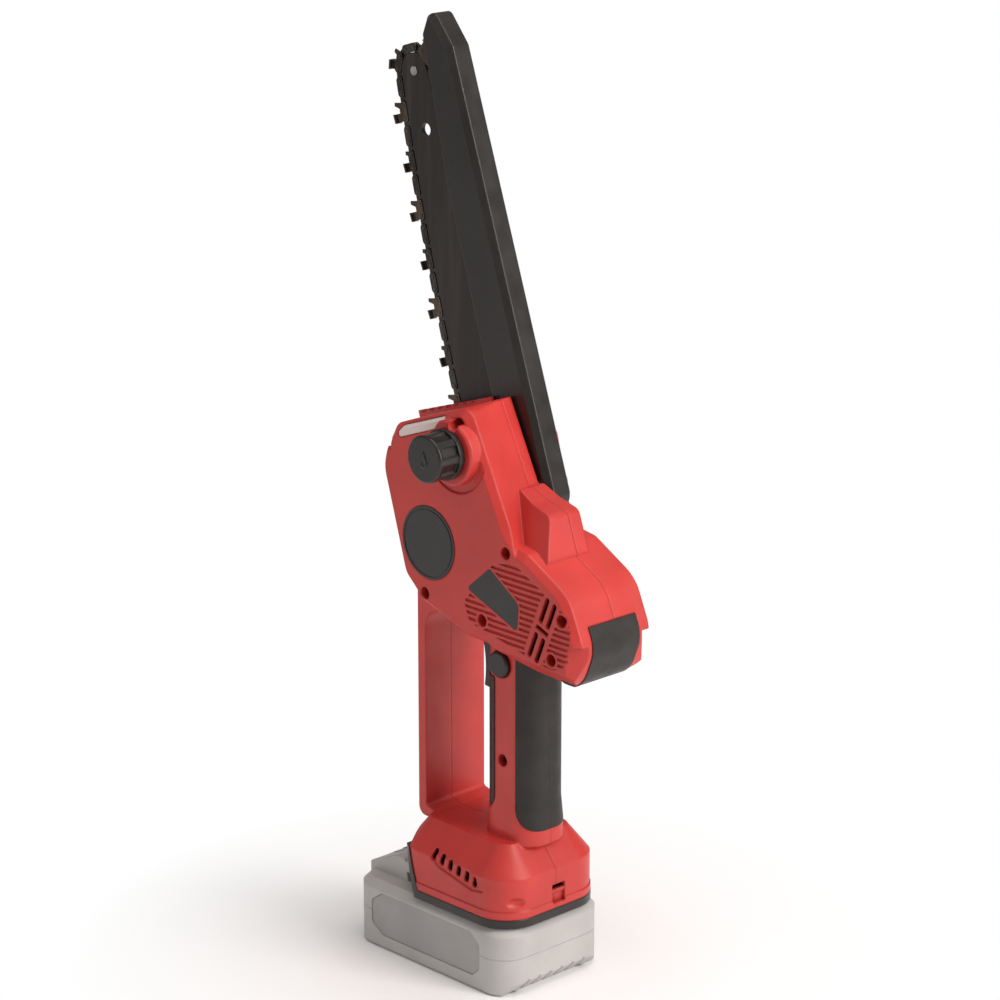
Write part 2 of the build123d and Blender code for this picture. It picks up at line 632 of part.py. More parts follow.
def lanyard_slot():
    """A small pocket in the rear of the foot; a bar is left standing across it."""
    pocket = block((FOOT_REAR - 1.7, FOOT_REAR + 5), (-2.5, 6.5), (44.5, 55))
    pocket += block((FOOT_REAR - 6, FOOT_REAR + 5), (-2.5, 6.5), (52, 55))
    return pocket - block((FOOT_REAR - 1.7, FOOT_REAR - 0.4), (-3, 7), (50, 52))


def cap_scoop():
    """The shallow recess round the lower side of the cap's boss."""
    below = block((-60, 60), (-60, 0), (200, CAP_PLACE[1] - 2))
    return tube(CAP_PLACE, SCOOP_RADIUS, CAP_BOSS_RADIUS, HEAD_LEFT - 1, HEAD_LEFT + SCOOP_DEPTH) & below


def half_casing(side, casing):
    span = sorted((0, side * 60))
    return one_solid(casing & block((-200, 200), span, (0, 400)))


def casing_halves():
    skin = casing_solid()
    cap_boss = rod(CAP_PLACE, CAP_BOSS_RADIUS, HEAD_LEFT - CAP_BOSS_HEIGHT, HEAD_LEFT + 2)
    cap_boss = chamfer(cap_boss.faces().sort_by(Axis.Y)[0].edges(), 1.2)
    compartment = slab(outline(COVER_OUTLINE), CHAIN_FACE - WALL, CHAIN_FACE)
    lip = chain_lip()
    bar_boss = rod(at_bar(BAR_STUD_AT, 0), 9.0, CHAIN_FACE - 1, BAR_PLANE - BAR_THICKNESS / 2 - 0.1)
    can_end = CAN_START + CAN_LENGTH + 3
    motor_bulge = motor_rod(CAN_RADIUS + SEAT_GAP + BULGE_WALL, CAN_START + 1, can_end) & block(
        (0, 60), (0, CHAIN_FACE + 4.3), (150, 260))
    shell = skin + cap_boss + compartment + bar_boss + motor_bulge - casing_cavity()
    shell -= motor_rod(CAN_RADIUS + SEAT_GAP, CAN_START - 2, can_end)
    shell += [rib & skin for rib in casing_ribs()]
    shell += [boss & skin for boss in screw_bosses()]
    shell -= motor_rod(CAN_RADIUS + SEAT_GAP, CAN_START - 2, can_end)
    shell += lip
    cuts = screw_holes()
    cuts.append(vent_slots())
    cuts.append(panel_recess())
    cuts.append(finger_recess())
    cuts.append(lanyard_slot())
    for side in (-1, 1):
        cuts += foot_vents(side)
        cuts.append(vent_pocket(side))
        cuts.append(grip_pad(side))
    cuts.append(front_grip_strip())
    cuts.append(rear_bumper())
    cuts.append(slab(outline(WINDOW_OUTLINE, 0.15), HEAD_LEFT - 8, HEAD_LEFT + WALL + 1))
    cuts.append(rod(CAP_PLACE, NECK_RADIUS + SEAT_GAP, HEAD_LEFT - 8, HEAD_LEFT + 5))
    cuts.append(slab(outline(TANK_OUTLINE, SEAT_GAP), HEAD_LEFT + WALL, TANK_RIGHT + SEAT_GAP) & head_form(-WALL))
    cuts.append(cap_scoop())
    cuts.append(rod(BADGE_PLACE, BADGE_RADIUS + 0.1, HEAD_LEFT - 2, HEAD_LEFT + LABEL_THICKNESS))
    cuts.append(slab(outline(PLATE_OUTLINE, 0.1), HEAD_LEFT - 2, HEAD_LEFT + LABEL_THICKNESS))
    cuts.append(trigger_room())
    cuts.append(rod(BUTTON_PLACE, BUTTON_RADIUS + SLIDE_CLEARANCE, -40, -GRIP_WIDTH / 2 + 4))
    cuts.append(rod(BUTTON_PLACE, BUTTON_RADIUS + 2.1 + SLIDE_CLEARANCE, -GRIP_WIDTH / 2 + 2.5, 0))
    cuts.append(switch_room())
    cuts.append(rod(SPROCKET, CASE_RADIUS + SEAT_GAP, -24.3, CHAIN_FACE - WALL))
    cuts.append(rod(SPROCKET, BEARING_RADIUS + 2.8, 0, CHAIN_FACE + 1))
    cuts.append(rod(at_bar(BAR_STUD_AT, 0), STUD_RADIUS + SHAFT_CLEARANCE, 0, 30))
    cuts.append(rod(at_bar(BAR_STUD_AT, 0), STUD_RADIUS + 3.3, 0, CHAIN_FACE - WALL))
    cuts.append(rod(at_bar(*GUARD_PIVOT), GUARD_PIVOT_RADIUS + SHAFT_CLEARANCE, CHAIN_FACE - 8, 40))
    shell -= cuts
    return half_casing(-1, shell), half_casing(1, shell)


def chain_lip():
    """The slotted rim over the chain's way out, along the top of the chain compartment."""
    start, end = COVER_OUTLINE[0], COVER_OUTLINE[-1]
    slope = atan2(end[1] - start[1], end[0] - start[0])
    length = hypot(end[0] - start[0], end[1] - start[1]) - 4.5
    place = Pos(start[0] + 2.2, start[1] - 0.6) * Rot(0, 0, degrees(slope))
    beside_guard = length - 8.5
    lip = slab(place * Pos(length / 2, LIP_HEIGHT / 2) * Rectangle(length, LIP_HEIGHT), CHAIN_FACE - WALL,
               GUARD_LEFT - 0.5)
    shelf = place * Pos(beside_guard / 2, 1.2) * Rectangle(beside_guard, 2.4)
    lip += slab(shelf, CHAIN_FACE - WALL, CHAIN_FACE + 3.6)
    for count in range(7):
        notch = place * Pos(4.5 + count * 6.4, LIP_HEIGHT) * Rectangle(3.4, 2.4)
        lip -= slab(notch, CHAIN_FACE - WALL - 1, GUARD_LEFT)
    return lip


def battery_rail():
    """The dark band under the foot, with the lips that hold the battery's slide rail."""
    low = BATTERY_HEIGHT + SEAT_GAP
    high = low + BAND_HEIGHT
    band = Pos(0, 0, low) * extrude(footprint(BAND_PROUD), amount=BAND_HEIGHT) - sweep_cut(4.2)
    sweep = Pos(0, 0, low) * extrude(footprint(BAND_PROUD), amount=FOOT_SIDE_TOP - low) - sweep_cut(4.2)
    sweep = sweep & sweep_cut(0.0)
    sweep -= block((-60, 60), (-TOWER_FLANGE / 2 - 3, TOWER_FLANGE / 2 + 3), (0, 90))
    room_neck = block((-80, TOWER_REAR + 1), (-TOWER_NECK / 2 - SLIDE_CLEARANCE, TOWER_NECK / 2 + SLIDE_CLEARANCE),
                      (0, high + 1))
    return one_solid(band + sweep - room_neck)


# ---- Power train ---------------------------------------------------------------------------------
def motor_can():
    shell = motor_rod(CAN_RADIUS, CAN_START, CAN_START + CAN_LENGTH)
    shell -= motor_rod(CAN_RADIUS - 1.6, CAN_START + 2, CAN_START + CAN_LENGTH + 1)
    nose = motor_rod(6.5, CAN_START - 3, CAN_START)
    return shell + nose - motor_rod(SHAFT_RADIUS + SHAFT_CLEARANCE, CAN_START - 4, CAN_START + 3)


def motor_magnets():
    low, high = CAN_START + 5, CAN_START + CAN_LENGTH - 7
    ring = motor_rod(CAN_RADIUS - 1.6, low, high) - motor_rod(CAN_RADIUS - 4.6, low - 1, high + 1)
    gap = MOTOR_AXIS * Pos(0, 0, (low + high) / 2) * Box(60, 9, 50)
    return ring - gap


def motor_end_cap():
    start = CAN_START + CAN_LENGTH
    cap = motor_rod(CAN_RADIUS, start, start + 2.4)
    cap += motor_rod(CAN_RADIUS - 1.9, start - 4, start) - motor_rod(CAN_RADIUS - 4.0, start - 5, start)
    cap += motor_rod(6.5, start, start + END_CAP_LENGTH)
    cap -= motor_rod(SHAFT_RADIUS + SHAFT_CLEARANCE, start - 6, start + END_CAP_LENGTH + 1)
    for y in MOTOR_LEAD_PLACES:
        cap += MOTOR_AXIS * Pos(y - MOTOR_PLANE, 2.5 - TERMINAL_REACH, start + TERMINAL_SEAT) * Box(3.4, 5, 4)
    return cap


def motor_armature():
    start = CAN_START + 6
    end = CAN_START + CAN_LENGTH
    core = end - 12
    stack = motor_rod(CAN_RADIUS - 5.3, start, core)
    slots = [MOTOR_AXIS * Rot(0, 0, 72 * count) * Pos(CAN_RADIUS - 5.3, 0, (start + core) / 2) * Box(9, 2.2, 40)
             for count in range(5)]
    stack -= slots
    stack += motor_rod(CAN_RADIUS - 8.0, start - 2, core + 2)
    stack += motor_rod(5.0, core + 2, end - 3)
    return stack + motor_rod(SHAFT_RADIUS, SHAFT_START, end + END_CAP_LENGTH + 8)


def motor_fan():
    start = CAN_START + CAN_LENGTH + END_CAP_LENGTH + 1
    fan = motor_rod(5.0, start, start + 6.5)
    fan += motor_rod(FAN_RADIUS, start, start + 1.4)
    for count in range(9):
        blade = MOTOR_AXIS * Rot(0, 0, 40 * count) * Pos(9.8, 0, start + 3.8) * Rot(0, 0, 25) * Box(10.5, 1.2, 5.2)
        fan += blade & motor_rod(FAN_RADIUS, start, start + 7)
    return fan - motor_rod(SHAFT_RADIUS, 0, 200)


def bevel(teeth, mate_teeth, face, back):
    """A straight bevel gear with its pitch cone's tip at the origin and its axis along +Z."""
    pitch_radius = GEAR_MODULE * teeth / 2
    cone_height = GEAR_MODULE * mate_teeth / 2
    cone = hypot(pitch_radius, cone_height)
    small = (cone - face) / cone
    half = atan2(pitch_radius, cone_height)
    addendum = 0.75 * GEAR_MODULE
    dedendum = 1.15 * GEAR_MODULE

    def rim(height, share):
        """Radius and height of a point above the pitch cone at a share of its length."""
        return (share * pitch_radius + height * cos(half), share * cone_height - height * sin(half))

    root_big = rim(-dedendum, 1.0)
    root_small = rim(-dedendum * small, small)
    blank = make_face(Polyline((0, root_small[1]), root_small, root_big, (root_big[0] - 0.6, back), (0, back),
                               close=True))
    gear = revolve(Plane.XZ * blank, Axis.Z)
    tooth_half = GEAR_MODULE * pi * 0.2

    def section(share):
        depth = 0.3 * GEAR_MODULE
        low, high = rim(-(dedendum + depth) * share, share), rim(addendum * share, share)
        slope = atan2(high[0] - low[0], high[1] - low[1])
        plane = Plane(origin=(low[0], 0, low[1]), x_dir=(0, 1, 0),
                      z_dir=(cos(slope), 0, -sin(slope)))
        height = hypot(high[0] - low[0], high[1] - low[1])
        foot, tip = tooth_half * 1.5 * share, tooth_half * 0.62 * share
        profile = Polyline((-foot, 0), (foot, 0), (tip, height), (-tip, height), close=True)
        return plane * make_face(profile)

    tooth = loft([section(1.0), section(small)])
    return gear + [Rot(0, 0, 360 / teeth * count) * tooth for count in range(teeth)]


def gear_apex(y):
    return (SPROCKET[0], y, SPROCKET[1])


def bevel_gear():
    """The large bevel gear, left of the motor's axis, with its teeth facing the chain side."""
    back = GEAR_MODULE * PINION_TEETH / 2 + 4.5
    gear = bevel(GEAR_TEETH, PINION_TEETH, GEAR_FACE, back)
    half_tooth = 180 / GEAR_TEETH
    place = Plane(origin=gear_apex(MOTOR_PLANE), x_dir=(cos(MOTOR_FALL), 0, -sin(MOTOR_FALL)),
                  z_dir=(0, -1, 0)).location
    gear = place * Rot(0, 0, half_tooth) * gear
    return gear - rod(SPROCKET, SPROCKET_SHAFT_RADIUS, -60, 60)


def bevel_pinion():
    back = GEAR_MODULE * GEAR_TEETH / 2 + 3.0
    pinion = bevel(PINION_TEETH, GEAR_TEETH, GEAR_FACE, back)
    place = Plane(origin=gear_apex(MOTOR_PLANE), x_dir=(0, -1, 0),
                  z_dir=(cos(MOTOR_FALL), 0, -sin(MOTOR_FALL))).location
    return place * pinion - motor_rod(SHAFT_RADIUS, 0, 60)


GEAR_BACK = MOTOR_PLANE - GEAR_MODULE * PINION_TEETH / 2 - 4.5
LEFT_BEARING = GEAR_BACK - 0.4                 # the side of the bearing that faces the gear
CASE_LEFT = LEFT_BEARING - BEARING_WIDTH - CASE_WALL - 0.1
CASE_RIGHT = CHAIN_FACE - WALL - SEAT_GAP
RIGHT_BEARING = CASE_RIGHT + 0.3               # the outer side of the right bearing
SPROCKET_LENGTH = BAR_PLANE + 5.0


def sprocket_shaft():
    shaft = rod(SPROCKET, SPROCKET_SHAFT_RADIUS, LEFT_BEARING - BEARING_WIDTH, SPROCKET_LENGTH)
    shaft = chamfer(shaft.faces().sort_by(Axis.Y)[-1].edges(), 0.5)
    return shaft - tube(SPROCKET, SPROCKET_SHAFT_RADIUS + 1, SPROCKET_SHAFT_RADIUS - 0.6,
                        SPROCKET_LENGTH - 2.4, SPROCKET_LENGTH - 1.5)


def sprocket_clip():
    """The spring clip that keeps the sprocket on its shaft."""
    clip = tube(SPROCKET, 6.5, SPROCKET_SHAFT_RADIUS - 0.6, SPROCKET_LENGTH - 2.35, SPROCKET_LENGTH - 1.55)
    return clip - block((SPROCKET[0] - 2.4, SPROCKET[0] + 2.4), (0, 60), (SPROCKET[1], SPROCKET[1] + 9))


def shaft_bearing(inner_side):
    ring = tube(SPROCKET, BEARING_RADIUS, SPROCKET_SHAFT_RADIUS + SHAFT_CLEARANCE,
                inner_side - BEARING_WIDTH, inner_side)
    for y in (inner_side, inner_side - BEARING_WIDTH):
        ring -= tube(SPROCKET, 7.9, 5.8, y - 0.4, y + 0.4)
    return ring


def gear_case():
    case = tube(SPROCKET, CASE_RADIUS, CASE_RADIUS - CASE_WALL, CASE_LEFT, CASE_RIGHT - CASE_WALL)
    case += rod(SPROCKET, CASE_RADIUS - 1, CASE_LEFT, CASE_LEFT + CASE_WALL)
    case += rod(SPROCKET, BEARING_RADIUS + 2.2, CASE_LEFT, LEFT_BEARING - 0.3)
    case -= rod(SPROCKET, BEARING_RADIUS, LEFT_BEARING - BEARING_WIDTH, LEFT_BEARING + 1)
    case -= rod(SPROCKET, SPROCKET_SHAFT_RADIUS + 1, CASE_LEFT - 1, 0)
    neck = motor_rod(11.0, CASE_RADIUS - 3, CAN_START)
    case += neck - rod(SPROCKET, CASE_RADIUS - CASE_WALL, -60, 60)
    case -= motor_rod(7.6, 8, CAN_START - 5)
    case -= motor_rod(6.5 + SHAFT_CLEARANCE, CAN_START - 6, CAN_START + 1)
    return one_solid(case - rod(SPROCKET, CASE_RADIUS + 20, CASE_RIGHT - CASE_WALL, 40))


def gear_case_cover():
    cover = rod(SPROCKET, CASE_RADIUS, CASE_RIGHT - CASE_WALL, CASE_RIGHT)
    cover += rod(SPROCKET, BEARING_RADIUS + 2.2, RIGHT_BEARING - BEARING_WIDTH, CHAIN_FACE - 0.3)
    cover -= rod(SPROCKET, BEARING_RADIUS, RIGHT_BEARING - BEARING_WIDTH - 1, RIGHT_BEARING)
    return cover - rod(SPROCKET, SPROCKET_SHAFT_RADIUS + 1, 0, 20)


def drive_sprocket():
    """Radial teeth that stand between the drive links' tangs, on a hub."""
    half_gauge = LINK_GAUGE / 2
    wheel = Circle(DRIVE_RADIUS - TANG_LENGTH - 0.8)
    tooth = make_face(Polyline((8, -2.9), (DRIVE_RADIUS - 2.6, -1.5), (DRIVE_RADIUS - 1.2, 0),
                               (DRIVE_RADIUS - 2.6, 1.5), (8, 2.9), close=True))
    for count in range(DRIVE_TEETH):
        wheel += Rot(0, 0, 360 / DRIVE_TEETH * count + TOOTH_PHASE) * tooth
    sprocket = bar_slab(wheel, BAR_PLANE - half_gauge, BAR_PLANE + half_gauge)
    sprocket += rod(SPROCKET, 8.0, CHAIN_FACE + 1.0, SPROCKET_LENGTH - 2.6)
    return sprocket - rod(SPROCKET, SPROCKET_SHAFT_RADIUS, 0, 60)


# ---- Bar and chain -------------------------------------------------------------------------------
NOSE_SAG = NOSE_RADIUS * (1 - cos(pi / 2 / NOSE_TEETH))   # a straight link dips this far on the nose
RAIL_INSET = STRAP_HALF_HEIGHT + NOSE_SAG + RAIL_GAP      # from the rivet line in to the bar's rails


def bar_outline(inset):
    """The bar's outline, inset from the chain's rivet line."""
    nose_angle, drive_angle = loop_angles(CENTRES)
    radius = BAR_SIDE_RADIUS - inset

    def side(along, mirror):
        return along, mirror * (ARC_ACROSS + sqrt(radius ** 2 - (along - ARC_ALONG) ** 2))

    nose = NOSE_RADIUS - inset
    tangent = (CENTRES + nose * cos(nose_angle), nose * sin(nose_angle))
    under = (tangent[0], -tangent[1])
    tail = side(BAR_TAIL, 1)
    tail_under = side(BAR_TAIL, -1)
    middle = CENTRES / 2
    edge = [ThreePointArc(tail, side(middle, 1), tangent),
            ThreePointArc(tangent, (CENTRES + nose, 0), under),
            ThreePointArc(under, side(middle, -1), tail_under),
            Line(tail_under, tail)]
    return make_face(edge)


def guide_bar():
    half = BAR_THICKNESS / 2
    groove = GROOVE_WIDTH / 2
    face = bar_outline(RAIL_INSET)
    core = bar_outline(RAIL_INSET + GROOVE_DEPTH)
    core -= Pos(CENTRES, 0) * Circle(NOSE_RADIUS - RAIL_INSET - 0.2)
    cuts = Pos(CENTRES - HANG_HOLE_AT, 0) * Circle(HANG_HOLE_RADIUS)
    slot_middle = BAR_SLOT_START + BAR_SLOT_LENGTH / 2
    cuts += Pos(slot_middle, 0) * SlotOverall(BAR_SLOT_LENGTH, BAR_SLOT_WIDTH)
    for side in (-1, 1):
        cuts += Pos(TENSION_AT, side * TENSION_PIN_OFFSET) * Circle(TENSION_PIN_RADIUS + 0.1)
    cuts += Pos(CENTRES, 0) * Circle(2.4)
    plates = face - cuts
    bar = bar_slab(plates, BAR_PLANE - half, BAR_PLANE - groove)
    bar += bar_slab(plates, BAR_PLANE + groove, BAR_PLANE + half)
    bar += bar_slab(core - cuts, BAR_PLANE - groove, BAR_PLANE + groove)
    return bar


def nose_rivet():
    at = at_bar(CENTRES, 0)
    return rod(at, 2.35, BAR_PLANE - BAR_THICKNESS / 2 - 0.25, BAR_PLANE + BAR_THICKNESS / 2 + 0.25)


def nose_sprocket():
    """The small star inside the bar's nose, which the drive links roll over."""
    reach = NOSE_RADIUS - TANG_LENGTH - 0.4
    star = Circle(reach - 1.6)
    for count in range(NOSE_TEETH):
        star += Rot(0, 0, 360 / NOSE_TEETH * count) * Pos(reach / 2, 0) * Rectangle(reach, 1.8)
    star -= Circle(2.35 + SHAFT_CLEARANCE)
    return bar_slab(Pos(CENTRES, 0) * star, BAR_PLANE - LINK_GAUGE / 2, BAR_PLANE + LINK_GAUGE / 2)


RIVET_COUNT = 2 * DRIVE_LINKS
RIVETS = [loop_point((count + 0.5) * CHAIN_PITCH) for count in range(RIVET_COUNT)]
TOOTH_PHASE = degrees(atan2(RIVETS[DRIVE_LINKS][1] + RIVETS[DRIVE_LINKS - 1][1],
                            RIVETS[DRIVE_LINKS][0] + RIVETS[DRIVE_LINKS - 1][0]))


def link_frame(first, second):
    """A link's own placement: its middle, the direction of travel and the way out of the loop."""
    middle = ((first[0] + second[0]) / 2, (first[1] + second[1]) / 2)
    turn = degrees(atan2(second[1] - first[1], second[0] - first[0]))
    return Pos(*middle) * Rot(0, 0, turn)


def link_span(first, second):
    return hypot(second[0] - first[0], second[1] - first[1])


def link_face(first, second, extra):
    """A strap's outline about its two rivets; extra is added in the link's own frame, +Y inwards."""
    span = link_span(first, second)
    face = SlotCenterToCenter(span, 2 * STRAP_HALF_HEIGHT)
    if extra is not None:
        face += extra
    for side in (-1, 1):
        face -= Pos(side * span / 2, 0) * Circle(RIVET_RADIUS + 0.03)
    return link_frame(first, second) * face


def drive_links():
    links = []
    low, high = BAR_PLANE - LINK_GAUGE / 2, BAR_PLANE + LINK_GAUGE / 2
    tang = make_face(Polyline((-3.3, 0), (3.3, 0), (2.6, TANG_LENGTH - 1.8), (0.4, TANG_LENGTH),
                              (-2.2, TANG_LENGTH - 1.4), close=True))
    for count in range(0, RIVET_COUNT, 2):
        first, second = RIVETS[count], RIVETS[(count + 1) % RIVET_COUNT]
        links.append(bar_slab(link_face(first, second, tang), low, high))
    return links


def strap_pairs():
    """Every second pair of rivets is joined by straps; every other strap place has a cutter."""
    return [(RIVETS[count], RIVETS[(count + 1) % RIVET_COUNT]) for count in range(1, RIVET_COUNT, 2)]


def strap_side(side):
    half = LINK_GAUGE / 2 + 0.05
    inner, outer = BAR_PLANE + side * half, BAR_PLANE + side * (half + STRAP_THICKNESS)
    return sorted((inner, outer))


def tie_straps():
    straps = []
    for count, (first, second) in enumerate(strap_pairs()):
        for side in (-1, 1):
            cutter_here = count % 2 == 0 and side == cutter_side(count)
            if not cutter_here:
                straps.append(bar_slab(link_face(first, second, None), *strap_side(side)))
    return straps


def cutter_side(count):
    return -1 if count % 4 == 0 else 1


def cutters(side):
    """Cutting links: a side plate that rises to an overhanging top plate, behind a depth gauge."""
    links = []
    top = STRAP_HALF_HEIGHT + CUTTER_HEIGHT
    plate = make_face(Polyline((-4.6, 0), (4.6, 0), (5.2, -top + 1.2), (3.4, -top + 1.0), (1.8, -3.0),
                               (-0.6, -3.0), (-0.8, -top), (-5.6, -top + 0.7), close=True))
    for count, (first, second) in enumerate(strap_pairs()):
        if count % 2 or cutter_side(count) != side:
            continue
        low, high = strap_side(side)
        link = bar_slab(link_face(first, second, plate), low, high)
        roof = link_frame(first, second) * make_face(Polyline(
            (-0.8, -top), (-5.6, -top + 0.7), (-5.6, -top + 1.6), (-0.9, -top + 0.9), close=True))
        reach = BAR_PLANE + side * (LINK_GAUGE / 2 + 2.1)
        link += bar_slab(roof, *sorted((reach, BAR_PLANE - side * 1.4)))
        links.append(link)
    return links


def chain_rivets():
    reach = LINK_GAUGE / 2 + 0.05 + STRAP_THICKNESS
    rivets = []
    for along, across in RIVETS:
        place = at_bar(along, across)
        pin = rod(place, RIVET_RADIUS, BAR_PLANE - reach - 0.3, BAR_PLANE + reach + 0.3)
        rivets.append(pin)
    return rivets


def bar_stud():
    at = at_bar(BAR_STUD_AT, 0)
    stud = rod(at, STUD_RADIUS, CHAIN_FACE - WALL - 3, COVER_RIGHT + 1.0)
    return stud + rod(at, STUD_RADIUS + 3.0, CHAIN_FACE - WALL - 3, CHAIN_FACE - WALL)


NUT_SEAT = COVER_RIGHT - 6.0


def bar_washer():
    return tube(at_bar(BAR_STUD_AT, 0), 8.5, STUD_RADIUS + SHAFT_CLEARANCE, NUT_SEAT + 0.1, NUT_SEAT + 1.4)


def bar_nut():
    at = at_bar(BAR_STUD_AT, 0)
    hexagon = Pos(*at) * RegularPolygon(6.5, 6, major_radius=False)
    nut = slab(hexagon - Pos(*at) * Circle(STUD_RADIUS + SHAFT_CLEARANCE), NUT_SEAT + 1.5, NUT_SEAT + 8.0)
    return nut & (Pos(at[0], NUT_SEAT + 4.7, at[1]) * Rot(90, 0, 0) * Cone(11.2, 7.1, 6.7)
                  + Pos(at[0], NUT_SEAT + 2.7, at[1]) * Rot(90, 0, 0) * Cylinder(7.4, 3.0))


TENSION_DEPTH = (BAR_PLANE + BAR_THICKNESS / 2 + 0.9, BAR_PLANE + BAR_THICKNESS / 2 + 7.2)
TENSION_LINE = sum(TENSION_DEPTH) / 2
LUG_LOW, LUG_HIGH = 19.5, 46.0
LUG_WIDTH = 5.0


def along_rod(radius, start, end):
    """A rod parallel to the bar, on the tension screw's line."""
    x, z = at_bar((start + end) / 2, TENSION_OFFSET)
    return Pos(x, TENSION_LINE, z) * Rot(0, -BAR_TILT, 0) * Cylinder(radius, end - start)


def tension_screw():
    screw = along_rod(2.0, LUG_LOW, LUG_HIGH + LUG_WIDTH + 0.3)
    head = along_rod(3.2, LUG_HIGH + LUG_WIDTH + 0.3, LUG_HIGH + LUG_WIDTH + 3.3)
    collar = along_rod(2.8, LUG_LOW - 1.8, LUG_LOW - 0.3)
    x, z = at_bar(LUG_HIGH + LUG_WIDTH + 3.3, TENSION_OFFSET)
    slot = Pos(x, TENSION_LINE, z) * Rot(0, -BAR_TILT, 0) * Box(8, 1.0, 2.4)
    return screw + head + collar + along_rod(2.0, LUG_LOW - 1.8, LUG_LOW) - slot


def tension_block():
    half = 3.5
    face = Pos(TENSION_AT, TENSION_OFFSET) * RectangleRounded(2 * half, 7.2, 1.0)
    arm_low, arm_high = TENSION_OFFSET + 3.0, TENSION_PIN_OFFSET + TENSION_PIN_RADIUS + 0.2
    face += Pos(TENSION_AT, (arm_low + arm_high) / 2) * Rectangle(4.0, arm_high - arm_low)
    piece = bar_slab(face, *TENSION_DEPTH)
    piece -= along_rod(2.0 + SHAFT_CLEARANCE, TENSION_AT - 6, TENSION_AT + 6)
    pin = Pos(TENSION_AT, TENSION_PIN_OFFSET) * Circle(TENSION_PIN_RADIUS)
    return piece + bar_slab(pin, BAR_PLANE - BAR_THICKNESS / 2, TENSION_DEPTH[0] + 0.2)


# ---- Side cover and chain guard ------------------------------------------------------------------
def side_cover():
    low = CHAIN_FACE + SEAT_GAP
    body = slab(outline(COVER_OUTLINE), low, COVER_RIGHT)
    body = chamfer(body.faces().sort_by(Axis.Y)[-1].edges(), 2.5)
    body -= slab(outline(COVER_OUTLINE, -COVER_WALL), low - 1, COVER_RIGHT - COVER_WALL)
    mouth = Pos(52, 18) * Rectangle(116, 88)
    body -= bar_slab(mouth, low - 1, GUARD_RIGHT + 1.2)
    at = at_bar(BAR_STUD_AT, 0)
    clamp_face = BAR_PLANE + BAR_THICKNESS / 2 + 0.1
    body += rod(at, 8.0, clamp_face, NUT_SEAT)
    body += rod(at, 11.7, NUT_SEAT - 2.2, COVER_RIGHT)
    body -= rod(at, 9.5, NUT_SEAT, COVER_RIGHT + 1)
    body -= rod(at, STUD_RADIUS + SEAT_GAP, 0, 60)
    for start in (LUG_LOW, LUG_HIGH):
        face = Pos(start + LUG_WIDTH / 2, TENSION_OFFSET) * Rectangle(LUG_WIDTH, 7.2)
        lug = bar_slab(face, TENSION_DEPTH[0], COVER_RIGHT - COVER_WALL + 0.5)
        body += lug - along_rod(2.0 + SHAFT_CLEARANCE, LUG_LOW - 5, LUG_HIGH + 12)
    body -= motor_rod(CAN_RADIUS + SEAT_GAP + BULGE_WALL + 0.4, CAN_START, CAN_START + CAN_LENGTH + 6)
    body -= rod(at_bar(*GUARD_PIVOT), GUARD_PIVOT_RADIUS + 2.7, low - 1, GUARD_RIGHT + 2.4)
    lip = chain_lip()
    body -= slab(Pos(-25, 291) * Rot(0, 0, 20) * Rectangle(64, 12), low - 1, CHAIN_FACE + 4)
    return one_solid(body - lip)


def guard_outline(inset, front=0.0):
    """The guard's side outline in bar coordinates; front moves its open edge towards the chain."""
    pivot_along, pivot_across = GUARD_PIVOT
    tip = CENTRES
    lower = GUARD_TAIL - inset
    return outline([
        (pivot_along - lower, pivot_across - 7 - front, 0.2 + lower / 3),
        (pivot_along - lower, pivot_across + 10 - inset, 7.5 - inset),
        (tip + 7 - inset / 3, 35.0 - inset, 5.0 - inset),
        (tip + 26 - inset, 27.0 - inset / 2, 4.0 - inset),
        (tip + 24.5 - inset, 21.0 - front, 3.0 - inset / 2),
        (tip + 17, 15.0 - front, 3.0),
        (tip - 60, 10.5 - front, 30.0),
        (pivot_along + 40, 12.0 - front, 20.0),
        (pivot_along + 6, pivot_across - 10 - front, 3.0)])


def chain_guard():
    """A trough over the chain's back run, open in front and at its tail where it swings over the cutters."""
    guard = bar_slab(guard_outline(0.0), GUARD_LEFT, GUARD_RIGHT)
    back = guard.faces().filter_by(Plane.XZ)
    rims = [edge for face in back for edge in face.edges() if edge_across(edge) > 23]
    guard = chamfer(rims, GUARD_EDGE)
    guard -= bar_slab(guard_outline(GUARD_WALL + 0.6, 14.0), GUARD_LEFT + GUARD_WALL, GUARD_RIGHT - GUARD_WALL)
    mouth = Pos(GUARD_PIVOT[0] - 9, GUARD_PIVOT[1] - 10) * Rectangle(16, 24)
    guard -= bar_slab(mouth, GUARD_LEFT + GUARD_WALL, GUARD_RIGHT - GUARD_WALL)
    guard -= rod(at_bar(*GUARD_PIVOT), GUARD_PIVOT_RADIUS + SHAFT_CLEARANCE, 0, 60)
    return one_solid(guard)


def edge_across(edge):
    """How far an edge's middle lies behind the bar's centre line."""
    middle = edge @ 0.5
    return (middle.X - SPROCKET[0]) * cos(TILT) + (middle.Z - SPROCKET[1]) * sin(TILT)


def guard_pin():
    at = at_bar(*GUARD_PIVOT)
    pin = rod(at, GUARD_PIVOT_RADIUS, CHAIN_FACE - 8, GUARD_RIGHT + 0.3)
    pin += rod(at, GUARD_PIVOT_RADIUS + 2.2, GUARD_RIGHT + 0.3, GUARD_RIGHT + 2.0)
    return pin + tube(at, GUARD_PIVOT_RADIUS + 1.8, GUARD_PIVOT_RADIUS - 0.1, CHAIN_FACE, GUARD_LEFT - 0.3)


